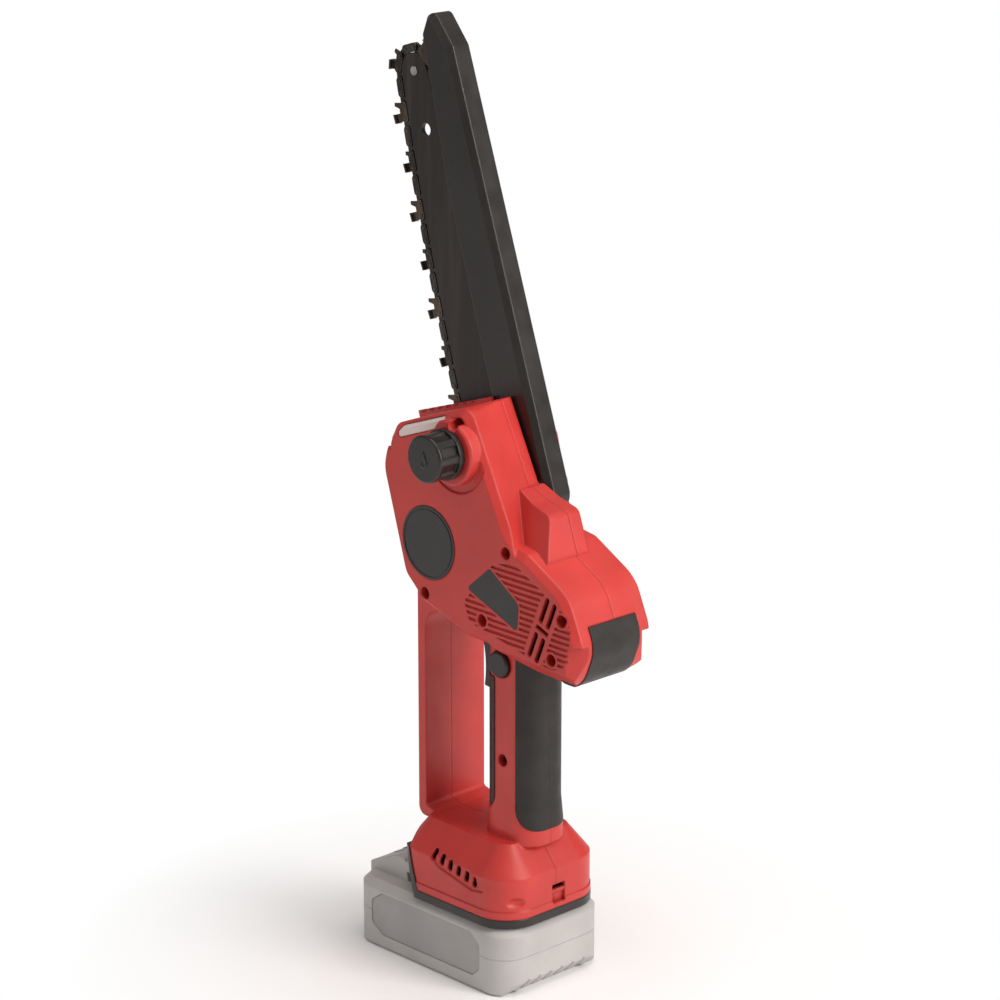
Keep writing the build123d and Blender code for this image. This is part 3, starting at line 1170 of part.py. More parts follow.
def guard_spring():
    """A torsion spring's coil about the guard's pin, with a leg towards the guard's back wall."""
    at = at_bar(*GUARD_PIVOT)
    inner = GUARD_PIVOT_RADIUS + SEAT_GAP
    coil = tube(at, inner + 1.0, inner, GUARD_LEFT + GUARD_WALL + 0.3, GUARD_LEFT + GUARD_WALL + 5.5)
    leg = bar_slab(Pos(GUARD_PIVOT[0] + 9, GUARD_PIVOT[1] + inner + 0.5) * Rectangle(18, 1.0),
                   GUARD_LEFT + GUARD_WALL + 4.5, GUARD_LEFT + GUARD_WALL + 5.5)
    return coil + leg


# ---- Oil system ----------------------------------------------------------------------------------
TANK_WALL = 1.8
TANK_LEFT = HEAD_LEFT + WALL + SEAT_GAP
NECK_TOP = HEAD_LEFT - CAP_BOSS_HEIGHT - 9.0


def oil_tank():
    room = head_form(-WALL - SEAT_GAP)
    tank = slab(outline(TANK_OUTLINE), TANK_LEFT, TANK_RIGHT) & room
    tank += rod(CAP_PLACE, NECK_RADIUS, NECK_TOP, TANK_LEFT + 1)
    tank -= (slab(outline(TANK_OUTLINE, -TANK_WALL), TANK_LEFT + TANK_WALL, TANK_RIGHT - TANK_WALL)
             & head_form(-WALL - SEAT_GAP - TANK_WALL))
    tank -= rod(CAP_PLACE, NECK_RADIUS - TANK_WALL, NECK_TOP - 1, TANK_LEFT + TANK_WALL + 0.5)
    window = slab(outline(WINDOW_OUTLINE), HEAD_LEFT + 0.2, TANK_LEFT + 0.8)
    window &= head_form(-0.2, edge=HEAD_EDGE)
    return one_solid(tank + window)


CAP_BASE = HEAD_LEFT - CAP_BOSS_HEIGHT - 1.6


def oil_cap():
    low = CAP_BASE - CAP_HEIGHT
    cap = rod(CAP_PLACE, CAP_FLANGE_RADIUS, CAP_BASE - 2.2, CAP_BASE)
    body = rod(CAP_PLACE, CAP_RADIUS, low, CAP_BASE)
    body = chamfer(body.faces().sort_by(Axis.Y)[0].edges(), 0.9)
    for count in range(CAP_GRIPS):
        angle = radians(360 / CAP_GRIPS * (count + 0.5))
        reach = CAP_RADIUS + 1.2
        at = (CAP_PLACE[0] + reach * cos(angle), CAP_PLACE[1] + reach * sin(angle))
        face = Pos(*at) * Rot(0, 0, degrees(angle)) * RectangleRounded(5.0, 6.2, 1.6)
        scoop = slab(face, low + 2.2, CAP_BASE - 2.2)
        body -= scoop
    cap += body
    cap -= rod(CAP_PLACE, NECK_RADIUS + SLIDE_CLEARANCE, NECK_TOP - 1.0, CAP_BASE + 1)
    drop = Circle(2.6) + make_face(Polyline((-2.5, 0.8), (0, 6.2), (2.5, 0.8), close=True))
    icon = slab(Pos(*CAP_PLACE) * Pos(0, -1.8) * (drop - Circle(1.5)), low - 0.4, low + 0.3)
    return cap + icon


def cap_seal():
    return tube(CAP_PLACE, CAP_FLANGE_RADIUS - 0.6, NECK_RADIUS + SEAT_GAP + 0.2, CAP_BASE,
                HEAD_LEFT - CAP_BOSS_HEIGHT - 0.1)


PUMP_PLACE = (SPROCKET[0] - 8, SPROCKET[1] + CASE_RADIUS + 3.2)
PUMP_DEPTH = (-10.5, -3.5)


def oil_pump():
    """A plunger pump that lies on the gear case, under the tank."""
    x, z = PUMP_PLACE
    body = block((x - 9, x + 9), PUMP_DEPTH, (z - 3.0, z + 2.2)) - rod(SPROCKET, CASE_RADIUS + 0.2, -40, 40)
    return body + block((x - 13, x - 9), (-9, -5), (z - 1.5, z + 1.5))


def oil_line():
    """The short line from the pump to the oil outlet in the chain-side wall."""
    return tube(PUMP_PLACE, 1.6, OIL_BORE, PUMP_DEPTH[1], CHAIN_FACE - WALL)


# ---- Badge and plates ----------------------------------------------------------------------------
def side_badge():
    badge = rod(BADGE_PLACE, BADGE_RADIUS, HEAD_LEFT - 0.3, HEAD_LEFT + LABEL_THICKNESS)
    return badge - tube(BADGE_PLACE, BADGE_RADIUS - 1.2, BADGE_RADIUS - 2.0, HEAD_LEFT - 1, HEAD_LEFT)


def rating_plate():
    return slab(outline(PLATE_OUTLINE), HEAD_LEFT, HEAD_LEFT + LABEL_THICKNESS)


# ---- Controls and electrics ----------------------------------------------------------------------
TRIGGER_BACK = GRIP_FRONT - 1.5
STEM_HALF_WIDTH = 4.0
STEM_SPAN = (161.0, 176.0)
STEM_REAR = SWITCH_FRONT + 2.5


def trigger_room():
    half = TRIGGER_WIDTH / 2 + SLIDE_CLEARANCE
    return block((-5, SWITCH_FRONT), (-half, half), (TRIGGER_BOTTOM - 1.5, TRIGGER_TOP + 1.5))


def switch_room():
    half = SWITCH_HALF_WIDTH + SEAT_GAP
    return block((SWITCH_FRONT - 1, SWITCH_REAR + 1), (-half, half), (SWITCH_BOTTOM - 1, SWITCH_TOP + 1))


def trigger():
    """A curved finger blade on a stem that runs into the switch."""
    top = (TRIGGER_FRONT, TRIGGER_TOP - 1.5)
    foot = (TRIGGER_FRONT + 2.5, TRIGGER_BOTTOM + 1.0)
    hollow = (TRIGGER_FRONT + 3.2, (TRIGGER_TOP + TRIGGER_BOTTOM) / 2 - 2)
    face = make_face([ThreePointArc(foot, hollow, top), Line(top, (TRIGGER_FRONT + 3, TRIGGER_TOP)),
                      Line((TRIGGER_FRONT + 3, TRIGGER_TOP), (TRIGGER_BACK + 2, TRIGGER_TOP)),
                      Line((TRIGGER_BACK + 2, TRIGGER_TOP), (TRIGGER_BACK + 2, TRIGGER_BOTTOM)),
                      Line((TRIGGER_BACK + 2, TRIGGER_BOTTOM), foot)])
    blade = slab(face, -TRIGGER_WIDTH / 2, TRIGGER_WIDTH / 2)
    front = blade.edges().filter_by(GeomType.CIRCLE).filter_by(lambda edge: edge.length > 20)
    blade = fillet(front, 2.2)
    stem = block((TRIGGER_BACK, STEM_REAR), (-STEM_HALF_WIDTH, STEM_HALF_WIDTH), STEM_SPAN)
    return blade + stem


def trigger_switch():
    """The switch block, with the pocket that takes the trigger's stem."""
    body = block((SWITCH_FRONT, SWITCH_REAR), (-SWITCH_HALF_WIDTH, SWITCH_HALF_WIDTH), (SWITCH_BOTTOM, SWITCH_TOP))
    half = STEM_HALF_WIDTH + SLIDE_CLEARANCE
    low, high = STEM_SPAN
    body -= block((SWITCH_FRONT - 1, STEM_REAR + TRIGGER_TRAVEL + 1), (-half, half),
                  (low - SLIDE_CLEARANCE, high + SLIDE_CLEARANCE))
    for side in (-1, 1):
        groove = sorted((side * (SWITCH_HALF_WIDTH - 0.8), side * 20))
        body -= block((SWITCH_FRONT + 5, SWITCH_REAR - 5), groove, (SWITCH_BOTTOM + 4, SWITCH_BOTTOM + 5))
    return body


BUTTON_FACE = -GRIP_WIDTH / 2 - BUTTON_PROUD
BUTTON_FLANGE = 2.1


def lock_off_button():
    """A round button through the grip's left side, held in by a flange."""
    flange_face = -GRIP_WIDTH / 2 + 2.8
    button = rod(BUTTON_PLACE, BUTTON_RADIUS, BUTTON_FACE, flange_face)
    button = chamfer(button.faces().sort_by(Axis.Y)[0].edges(), 0.8)
    button += rod(BUTTON_PLACE, BUTTON_RADIUS + BUTTON_FLANGE, flange_face, flange_face + 1.2)
    return button + rod(BUTTON_PLACE, 3.0, flange_face, -SWITCH_HALF_WIDTH - BUTTON_TRAVEL - 0.4)


def control_board():
    """The board in the foot, with a heat sink and a capacitor."""
    low = BOARD_HEIGHT
    top = low + BOARD_THICKNESS
    board = block(BOARD_SPAN, (-BOARD_HALF_WIDTH, BOARD_HALF_WIDTH), (low, top))
    board += block((2, 18), (-24, -8), (top, top + 7))
    for count in range(4):
        board -= block((4 + count * 3.6, 5.8 + count * 3.6), (-25, -7), (top + 2, top + 8))
    board += Pos(12, 14, top + 4.6) * Rot(0, 90, 0) * Cylinder(5, 20)
    return board + block((24, 32), (8, 20), (top, top + 2.4))


def lead(points, y):
    """A wire in one upright plane, bent through rounded corners given as (x, z, radius)."""
    side = Plane(origin=(0, y, 0), x_dir=(1, 0, 0), z_dir=(0, -1, 0))
    corners = [(x, z) for x, z, radius in points]
    bends = [radius for x, z, radius in points[1:-1]]
    path = side * FilletPolyline(*corners, radius=bends)
    start = Plane(origin=path @ 0, z_dir=path % 0)
    return sweep(start * Circle(WIRE_RADIUS), path=path)


def power_leads():
    """Wires from the battery contacts to the board, up the grip to the switch, and on to the motor."""
    leads = []
    board_top = BOARD_HEIGHT + BOARD_THICKNESS
    for y in (-4.5, 4.5):
        leads.append(Pos(LEAD_X, y, 0) * upright(WIRE_RADIUS, BLOCK_TOP, BOARD_HEIGHT))
        leads.append(Pos(LEAD_X, y, 0) * upright(WIRE_RADIUS, board_top, SWITCH_BOTTOM))
    seat = CAN_START + CAN_LENGTH + TERMINAL_SEAT
    down = (sin(MOTOR_FALL), cos(MOTOR_FALL))
    end = (SPROCKET[0] + seat * cos(MOTOR_FALL) - TERMINAL_REACH * down[0],
           SPROCKET[1] - seat * sin(MOTOR_FALL) - TERMINAL_REACH * down[1])
    below = (end[0] - 7 * down[0], end[1] - 7 * down[1])
    route = [(44.0, SWITCH_TOP, 0), (44.0, 188.6, 2.0), (51.0, below[1], 4.0), (*below, 3.0), (*end, 0)]
    leads += [lead(route, y) for y in MOTOR_LEAD_PLACES]
    return leads


def upright(radius, z_low, z_high):
    return Pos(0, 0, (z_low + z_high) / 2) * Cylinder(radius, z_high - z_low)


RAIL_TOP = BATTERY_HEIGHT + SEAT_GAP + BAND_HEIGHT
BLADE_SPAN = (RAIL_TOP + 0.8, RAIL_TOP + 4.4)
BLADE_PLACES = [(count - (BLADE_COUNT - 1) / 2) * BLADE_PITCH for count in range(BLADE_COUNT)]
BLADE_TIP = 20.0
BLOCK_FRONT = TOWER_REAR + 2.5
BLOCK_REAR = BLOCK_FRONT + 9.0
BLOCK_TOP = RAIL_TOP + 7.0


def terminal_block():
    holder = block((BLOCK_FRONT, BLOCK_REAR), (-18, 18), (RAIL_TOP, BLOCK_TOP))
    for y in BLADE_PLACES:
        half = BLADE_THICKNESS / 2
        holder -= block((BLOCK_FRONT - 1, BLOCK_REAR - 1), (y - half, y + half), BLADE_SPAN)
    return holder


def terminal_blades():
    return [block((BLADE_TIP, BLOCK_REAR - 1), (y - BLADE_THICKNESS / 2, y + BLADE_THICKNESS / 2), BLADE_SPAN)
            for y in BLADE_PLACES]


# ---- Battery -------------------------------------------------------------------------------------
FLANGE_LOW = RAIL_TOP + SLIDE_CLEARANCE
TOWER_FRONT = -57.5
HUMP_STEP = 3.6          # height of the upright front of the wedge that leads up to the rail
TOWER_TOP = BATTERY_HEIGHT + TOWER_HEIGHT
LATCH_SPAN = (-53.5, -37.5)
LATCH_HALF_WIDTH = 12.0
LATCH_TRAVEL = 3.0
TONGUE_REAR = -4.0
TONGUE_HALF_WIDTH = 6.0
CATCH_HEIGHT = 1.6


def battery_section(grow=0.0):
    return RectangleRounded(BATTERY_LENGTH + 2 * grow, BATTERY_WIDTH + 2 * grow, BATTERY_CORNER + grow)


def battery_lower_case():
    case = extrude(battery_section(), amount=BATTERY_LOWER_HEIGHT)
    case = chamfer(case.faces().sort_by(Axis.Z)[0].edges(), 1.5)
    room = Pos(0, 0, BATTERY_WALL) * extrude(battery_section(-BATTERY_WALL), amount=BATTERY_HEIGHT)
    for end in (-1, 1):
        corner = (end * (BATTERY_LENGTH / 2 - BATTERY_END_BEVEL), 0, 0)
        case -= beyond(corner, (end, 0, -1))
        room -= beyond(pushed(corner, (end, 0, -1), -BATTERY_WALL), (end, 0, -1))
    case -= room
    for x, y in BATTERY_SCREW_PLACES:
        case += Pos(x, y, 0) * upright(4.2, BATTERY_WALL - 0.5, BATTERY_LOWER_HEIGHT)
        case -= Pos(x, y, 0) * upright(3.0, -1, BATTERY_SCREW_HEAD)
        case -= Pos(x, y, 0) * upright(SCREW_RADIUS + SHAFT_CLEARANCE, -1, 30)
    for x in CELL_PLACES:
        for y in (-24, 24):
            case += block((x - 6, x + 6), (y - 1, y + 1), (BATTERY_WALL - 0.5, BATTERY_WALL + 3.5))
        case -= cell_rod(x, CELL_RADIUS + 0.2)
    case -= battery_panel_recess()
    return one_solid(case - battery_grip_grooves())


def battery_grip_grooves():
    """Finger grooves across the bevel under the battery's rear end."""
    middle = BATTERY_LENGTH / 2 - BATTERY_END_BEVEL / 2
    groove = Rot(0, 45, 0) * Cylinder(1.3, 2 * BATTERY_END_BEVEL)
    height = BATTERY_END_BEVEL / 2 - 0.4
    return [Pos(middle + 0.4, GROOVE_PITCH * (count - 2.5), height) * groove for count in range(6)]


def battery_panel_recess():
    return slab(outline(BATTERY_LABEL_OUTLINE, 0.2), -60, -BATTERY_WIDTH / 2 + BATTERY_LABEL_DEPTH)


CELL_PLACES = [(count - (CELL_COUNT - 1) / 2) * CELL_PITCH for count in range(CELL_COUNT)]
CELL_HEIGHT = BATTERY_WALL + SEAT_GAP + CELL_RADIUS
BATTERY_SCREW_PLACES = [(x, y) for x in (-50.5, 50.5) for y in (-24.0, 24.0)]
BATTERY_SCREW_HEAD = 3.0


def cell_rod(x, radius):
    return rod((x, CELL_HEIGHT), radius, -CELL_LENGTH / 2, CELL_LENGTH / 2)


def battery_cells():
    return [cell_rod(x, CELL_RADIUS) + rod((x, CELL_HEIGHT), 3.0, CELL_LENGTH / 2, CELL_LENGTH / 2 + 0.8)
            for x in CELL_PLACES]


def hump(grow=0.0):
    """The wedge at the front of the battery's top that leads up to the slide rail."""
    face = outline([(TOWER_FRONT, 34.0, 0.0), (TOWER_FRONT, BATTERY_HEIGHT + HUMP_STEP, 1.5),
                    (TOWER_FRONT + 20, TOWER_TOP + 1.5, 3.0), (TOWER_FRONT + 27, TOWER_TOP + 1.5, 2.0),
                    (TOWER_FRONT + 30, 34.0, 0.0)], grow)
    return slab(face, -TOWER_FLANGE / 2 - grow, TOWER_FLANGE / 2 + grow)


def battery_upper_case():
    height = BATTERY_HEIGHT - BATTERY_LOWER_HEIGHT
    case = Pos(0, 0, BATTERY_LOWER_HEIGHT) * extrude(battery_section(), amount=height)
    case = chamfer(case.faces().sort_by(Axis.Z)[-1].edges(), BATTERY_CHAMFER)
    inner = Pos(0, 0, BATTERY_LOWER_HEIGHT) * extrude(battery_section(-BATTERY_WALL), amount=height - BATTERY_WALL)
    inner = chamfer(inner.faces().sort_by(Axis.Z)[-1].edges(), BATTERY_CHAMFER - 0.5)
    neck = block((TOWER_FRONT + 24, TOWER_REAR), (-TOWER_NECK / 2, TOWER_NECK / 2), (BATTERY_HEIGHT - 2, TOWER_TOP))
    flange = block((TOWER_FRONT + 24, TOWER_REAR), (-TOWER_FLANGE / 2, TOWER_FLANGE / 2), (FLANGE_LOW, TOWER_TOP))
    room = block((TOWER_FRONT + 34, TOWER_REAR - BATTERY_WALL), (-TOWER_NECK / 2 + BATTERY_WALL,
                 TOWER_NECK / 2 - BATTERY_WALL), (BATTERY_HEIGHT - BATTERY_WALL - 1, TOWER_TOP - BATTERY_WALL))
    case = case + neck + flange + hump() - inner - room
    low, high = LATCH_SPAN
    half = LATCH_HALF_WIDTH + SLIDE_CLEARANCE
    floor = BATTERY_HEIGHT - LATCH_TRAVEL - 1.2
    case += block((low - 1.5, TOWER_FRONT + 36), (-half - 1.5, half + 1.5), (floor - 1.5, BATTERY_HEIGHT))
    case -= block((low - SLIDE_CLEARANCE, high + SLIDE_CLEARANCE), (-half, half), (floor, 80))
    tongue = TONGUE_HALF_WIDTH + SLIDE_CLEARANCE
    trough = (-tongue - 1.5, tongue + 1.5)
    case += block((high, TONGUE_REAR + 2), trough, (TOWER_TOP - 7.5, TOWER_TOP - 1))
    case -= block((high - 1, TONGUE_REAR + SLIDE_CLEARANCE), (-tongue, tongue), (TOWER_TOP - 6, 80))
    for y in BLADE_PLACES:
        case -= block((BLADE_TIP - 2, TOWER_REAR + 1), (y - BLADE_SLOT / 2, y + BLADE_SLOT / 2),
                      (BLADE_SPAN[0] - SLIDE_CLEARANCE, TOWER_TOP + 1))
    for x, y in BATTERY_SCREW_PLACES:
        case += Pos(x, y, 0) * upright(4.2, BATTERY_LOWER_HEIGHT, BATTERY_HEIGHT - BATTERY_WALL)
        case -= Pos(x, y, 0) * upright(SCREW_RADIUS + SHAFT_CLEARANCE, 0, BATTERY_SCREW_HEAD + 24)
    return one_solid(case - battery_panel_recess())


def battery_label():
    """A bare label in the shallow octagon on the battery's left side, over the seam."""
    floor = -BATTERY_WIDTH / 2 + BATTERY_LABEL_DEPTH
    return slab(outline(BATTERY_LABEL_OUTLINE), floor - LABEL_THICKNESS, floor)


def battery_latch():
    """The press button in the wedge and its tongue, which lies in the rail's top."""
    low, high = LATCH_SPAN
    floor = BATTERY_HEIGHT - 0.8
    button = hump(0.5) & block((low, high), (-LATCH_HALF_WIDTH, LATCH_HALF_WIDTH), (floor, 80))
    for count in range(3):
        x = low + 3 + count * 4.0
        ridge = hump(1.1) & block((x, x + 1.4), (-8, 8), (floor, 80))
        button += ridge
    tongue = block((high - 1, TONGUE_REAR), (-TONGUE_HALF_WIDTH, TONGUE_HALF_WIDTH), (TOWER_TOP - 2.5, TOWER_TOP))
    catch = block((TONGUE_REAR - 5, TONGUE_REAR), (-TONGUE_HALF_WIDTH, TONGUE_HALF_WIDTH),
                  (TOWER_TOP - 1, TOWER_TOP + CATCH_HEIGHT))
    return button + tongue + catch


def battery_board():
    top = CELL_HEIGHT + CELL_RADIUS + 1.5
    board = block((-44, 44), (-26, 26), (top, top + BOARD_THICKNESS))
    for x in (-28.2, 28.2):
        for y in (-20, 20):
            board += block((x - 2.5, x + 2.5), (y - 2.5, y + 2.5), (CELL_HEIGHT + 2.6, top)) - [
                cell_rod(place, CELL_RADIUS + 0.2) for place in CELL_PLACES]
    return board


def battery_terminals():
    """Spring clips that stand on the battery's board and take the saw's blades."""
    board_top = CELL_HEIGHT + CELL_RADIUS + 1.5 + BOARD_THICKNESS
    leaf = BLADE_THICKNESS / 2 + 0.05
    clips = []
    for y in BLADE_PLACES:
        clip = block((22, 26), (y - 1.3, y + 1.3), (board_top, BLADE_SPAN[0] - 0.6))
        for side in (-1, 1):
            span = sorted((y + side * leaf, y + side * (leaf + 0.45)))
            clip += block((20.5, 30), span, (BLADE_SPAN[0] - 1.6, BLADE_SPAN[1] - 0.6))
            width = sorted((y, y + side * (leaf + 0.45)))
            clip += block((20.5, 26), width, (BLADE_SPAN[0] - 1.6, BLADE_SPAN[0] - 0.6))
        clips.append(clip)
    return clips


def battery_screws():
    screws = []
    for x, y in BATTERY_SCREW_PLACES:
        screw = Pos(x, y, 0) * upright(2.7, BATTERY_SCREW_HEAD - 2, BATTERY_SCREW_HEAD)
        screw += Pos(x, y, 0) * upright(SCREW_RADIUS, BATTERY_SCREW_HEAD, BATTERY_SCREW_HEAD + 22)
        screws.append(screw - Pos(x, y, BATTERY_SCREW_HEAD - 1.5) * Box(3.4, 0.8, 1.2))
    return screws


# ---- Every piece, by its node's name -------------------------------------------------------------
def all_pieces():
    left_casing, right_casing = casing_halves()
    return {
        "left_casing": left_casing,
        "right_casing": right_casing,
        "battery_rail": battery_rail(),
        "left_grip_pad": grip_pad(-1),
        "right_grip_pad": grip_pad(1),
        "front_grip_strip": front_grip_strip(),
        "rear_bumper": rear_bumper(),
        "housing_screws": housing_screws(),
        "side_badge": side_badge(),
        "rating_plate": rating_plate(),
        "oil_tank": oil_tank(),
        "oil_cap": oil_cap(),
        "cap_seal": cap_seal(),
        "oil_pump": oil_pump(),
        "oil_line": oil_line(),
        "motor_can": motor_can(),
        "motor_magnets": motor_magnets(),
        "motor_end_cap": motor_end_cap(),
        "motor_armature": motor_armature(),
        "motor_fan": motor_fan(),
        "bevel_pinion": bevel_pinion(),
        "bevel_gear": bevel_gear(),
        "gear_case": gear_case(),
        "gear_case_cover": gear_case_cover(),
        "left_bearing": shaft_bearing(LEFT_BEARING),
        "right_bearing": shaft_bearing(RIGHT_BEARING),
        "sprocket_shaft": sprocket_shaft(),
        "drive_sprocket": drive_sprocket(),
        "sprocket_clip": sprocket_clip(),
        "guide_bar": guide_bar(),
        "nose_rivet": nose_rivet(),
        "nose_sprocket": nose_sprocket(),
        "chain_drive_links": drive_links(),
        "chain_tie_straps": tie_straps(),
        "chain_cutters": cutters(-1) + cutters(1),
        "chain_rivets": chain_rivets(),
        "bar_stud": bar_stud(),
        "bar_washer": bar_washer(),
        "bar_nut": bar_nut(),
        "tension_screw": tension_screw(),
        "tension_block": tension_block(),
        "side_cover": side_cover(),
        "chain_guard": chain_guard(),
        "guard_pin": guard_pin(),
        "guard_spring": guard_spring(),
        "trigger": trigger(),
        "trigger_switch": trigger_switch(),
        "lock_off_button": lock_off_button(),
        "control_board": control_board(),
        "power_leads": power_leads(),
        "terminal_block": terminal_block(),
        "terminal_blades": terminal_blades(),
        "battery_lower_case": battery_lower_case(),
        "battery_upper_case": battery_upper_case(),
        "battery_cells": battery_cells(),
        "battery_board": battery_board(),
        "battery_terminals": battery_terminals(),
        "battery_latch": battery_latch(),
        "battery_label": battery_label(),
        "battery_screws": battery_screws(),
    }


os.makedirs("parts", exist_ok=True)
for name, piece in all_pieces().items():
    if isinstance(piece, list):
        piece = Compound(children=piece)
    export_step(piece, f"parts/{name}.step")
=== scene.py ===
import json
import math

import bpy
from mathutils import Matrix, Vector

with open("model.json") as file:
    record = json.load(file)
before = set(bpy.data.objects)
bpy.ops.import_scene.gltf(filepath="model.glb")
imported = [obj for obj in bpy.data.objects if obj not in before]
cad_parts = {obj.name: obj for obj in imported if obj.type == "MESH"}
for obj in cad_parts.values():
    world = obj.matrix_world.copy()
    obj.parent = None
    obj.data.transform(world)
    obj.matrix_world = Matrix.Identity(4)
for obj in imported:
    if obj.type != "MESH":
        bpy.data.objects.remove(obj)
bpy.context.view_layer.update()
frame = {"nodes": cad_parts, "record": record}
NODES = frame["nodes"]

# ---- Driving values, in metres ------------------------------------------------------------------
CAMERA_TARGET = (0.01683, 0.0, 0.25294)
CAMERA_AZIMUTH = 46.26          # degrees from the left side towards the rear
CAMERA_ELEVATION = 16.617
CAMERA_DISTANCE = 1.7262
CAMERA_LENS = 122.3             # on a 36 mm sensor
MOULDED_EDGE = 0.0011           # how far a moulded edge is rounded
METAL_EDGE = 0.0003
RUBBER_EDGE = 0.0008
MILKY_EDGE = 0.0006
MOULD_GRAIN = 1500.0            # waves of the mould's grain per metre
RUBBER_GRAIN = 2200.0
GRAIN_DEPTH = 0.00004
EDGE_TINT = (0.34, 0.33, 0.32)  # bare steel where a blackened edge is rubbed
FADE_START = 0.07               # the floor's paper fades to plain white from here
FADE_END = 0.22
WARM_WHITE = (1.0, 0.955, 0.925)


# ---- Small node helpers -----------------------------------------------------------------------------
class Graph:
    """A material's node tree, with short calls for the nodes that the recipes below use."""

    def __init__(self, name):
        self.material = bpy.data.materials.new(name)
        self.material.use_nodes = True
        self.tree = self.material.node_tree
        self.tree.nodes.clear()
        self.output = self.add("ShaderNodeOutputMaterial")
        self.shader = self.add("ShaderNodeBsdfPrincipled")
        self.tree.links.new(self.shader.outputs["BSDF"], self.output.inputs["Surface"])
        self.place = self.add("ShaderNodeTexCoord").outputs["Object"]

    def add(self, kind, **settings):
        node = self.tree.nodes.new(kind)
        for key, value in settings.items():
            setattr(node, key, value)
        return node

    def link(self, source, target):
        self.tree.links.new(source, target)

    def noise(self, scale, detail=3.0, stretch=None):
        """A noise of so many waves per metre, drawn out along an axis where stretch is small."""
        node = self.add("ShaderNodeTexNoise")
        node.inputs["Scale"].default_value = scale
        node.inputs["Detail"].default_value = detail
        if stretch is None:
            self.link(self.place, node.inputs["Vector"])
        else:
            mapping = self.add("ShaderNodeMapping")
            mapping.inputs["Scale"].default_value = stretch
            self.link(self.place, mapping.inputs["Vector"])
            self.link(mapping.outputs["Vector"], node.inputs["Vector"])
        return node.outputs["Fac"]

    def spread(self, value, low, high, out_low=0.0, out_high=1.0):
        """Maps values from low to high on to another range, cut off at its ends."""
        node = self.add("ShaderNodeMapRange")
        self.link(value, node.inputs["Value"])
        settings = {"From Min": low, "From Max": high, "To Min": out_low, "To Max": out_high}
        for key, number in settings.items():
            node.inputs[key].default_value = number
        return node.outputs["Result"]

    def blend(self, amount, first, second):
        """Mixes two colours, each a tuple or another node's colour."""
        node = self.add("ShaderNodeMix", data_type="RGBA")
        self.link(amount, node.inputs["Factor"])
        colour_sockets = [socket for socket in node.inputs if socket.type == "RGBA"]
        for socket, colour in zip(colour_sockets, (first, second)):
            if isinstance(colour, tuple):
                socket.default_value = (*colour, 1.0)
            else:
                self.link(colour, socket)
        return [socket for socket in node.outputs if socket.type == "RGBA"][0]

    def edges(self, radius):
        """How much a point lies on a sharp edge, and the normal rounded over that edge."""
        rounded = self.add("ShaderNodeBevel")
        rounded.samples = 6
        rounded.inputs["Radius"].default_value = radius
        flat = self.add("ShaderNodeNewGeometry").outputs["Normal"]
        dot = self.add("ShaderNodeVectorMath", operation="DOT_PRODUCT")
        self.link(rounded.outputs["Normal"], dot.inputs[0])
        self.link(flat, dot.inputs[1])
        return self.spread(dot.outputs["Value"], 0.995, 0.80), rounded.outputs["Normal"]

    def bump(self, height, strength, distance, normal=None):
        """A normal raised by a height, over another normal where one is given."""
        node = self.add("ShaderNodeBump")
        node.inputs["Strength"].default_value = strength
        node.inputs["Distance"].default_value = distance
        self.link(height, node.inputs["Height"])
        if normal is not None:
            self.link(normal, node.inputs["Normal"])
        return node.outputs["Normal"]

    def set(self, **sockets):
        """Gives the shader's sockets numbers, colours or other nodes' outputs, by name."""
        for key, value in sockets.items():
            socket = self.shader.inputs[key.replace("_", " ")]
            if hasattr(value, "links"):
                self.link(value, socket)
            else:
                socket.default_value = value


def moulded_plastic(name, colour, roughness, grain=MOULD_GRAIN, depth=GRAIN_DEPTH,
                    edge=MOULDED_EDGE, scuff_and_highlight=0.25):
    """Moulded plastic with a fine grain, uneven sheen and edges lightened, partly as slight rubbed
    wear and partly as a painted highlight.
    """
    graph = Graph(name)
    cloud = graph.noise(28.0, 4.0)
    pale = tuple(min(1.0, part * 1.10 + 0.004) for part in colour)
    deep = tuple(part * 0.92 for part in colour)
    body = graph.blend(graph.spread(cloud, 0.3, 0.7), deep, pale)
    edge_amount, normal = graph.edges(edge)
    # Edges are lightened in specks: partly rubbed wear, partly a painted highlight along each edge.
    rubbed_and_highlit_colour = tuple(min(1.0, part * 1.35 + 0.02) for part in colour)
    specks = graph.spread(graph.noise(420.0, 5.0), 0.45, 0.75)
    wear_and_highlight_specks = graph.add("ShaderNodeMath", operation="MULTIPLY")
    graph.link(edge_amount, wear_and_highlight_specks.inputs[0])
    graph.link(specks, wear_and_highlight_specks.inputs[1])
    wear_and_highlight_amount = graph.spread(wear_and_highlight_specks.outputs["Value"], 0.0, 1.0, 0.0, scuff_and_highlight)
    body = graph.blend(wear_and_highlight_amount, body, rubbed_and_highlit_colour)
    sheen = graph.spread(graph.noise(75.0, 5.0), 0.3, 0.75, roughness - 0.06, roughness + 0.08)
    texture = graph.bump(graph.noise(grain, 2.0), 0.35, depth, normal)
    graph.set(Base_Color=body, Roughness=sheen, Normal=texture)
    return graph.material


def soft_rubber(name, colour):
    """Matt rubber with a cloudy bloom and a very fine grain."""
    graph = Graph(name)
    cloud = graph.noise(60.0, 4.0)
    bloom = tuple(part * 1.5 + 0.004 for part in colour)
    body = graph.blend(graph.spread(cloud, 0.3, 0.7), colour, bloom)
    _, normal = graph.edges(RUBBER_EDGE)
    sheen = graph.spread(graph.noise(160.0, 4.0), 0.3, 0.7, 0.40, 0.52)
    graph.set(Base_Color=body, Roughness=sheen, Specular_IOR_Level=0.35,
              Normal=graph.bump(graph.noise(RUBBER_GRAIN, 2.0), 0.3, 0.00003, normal))
    return graph.material


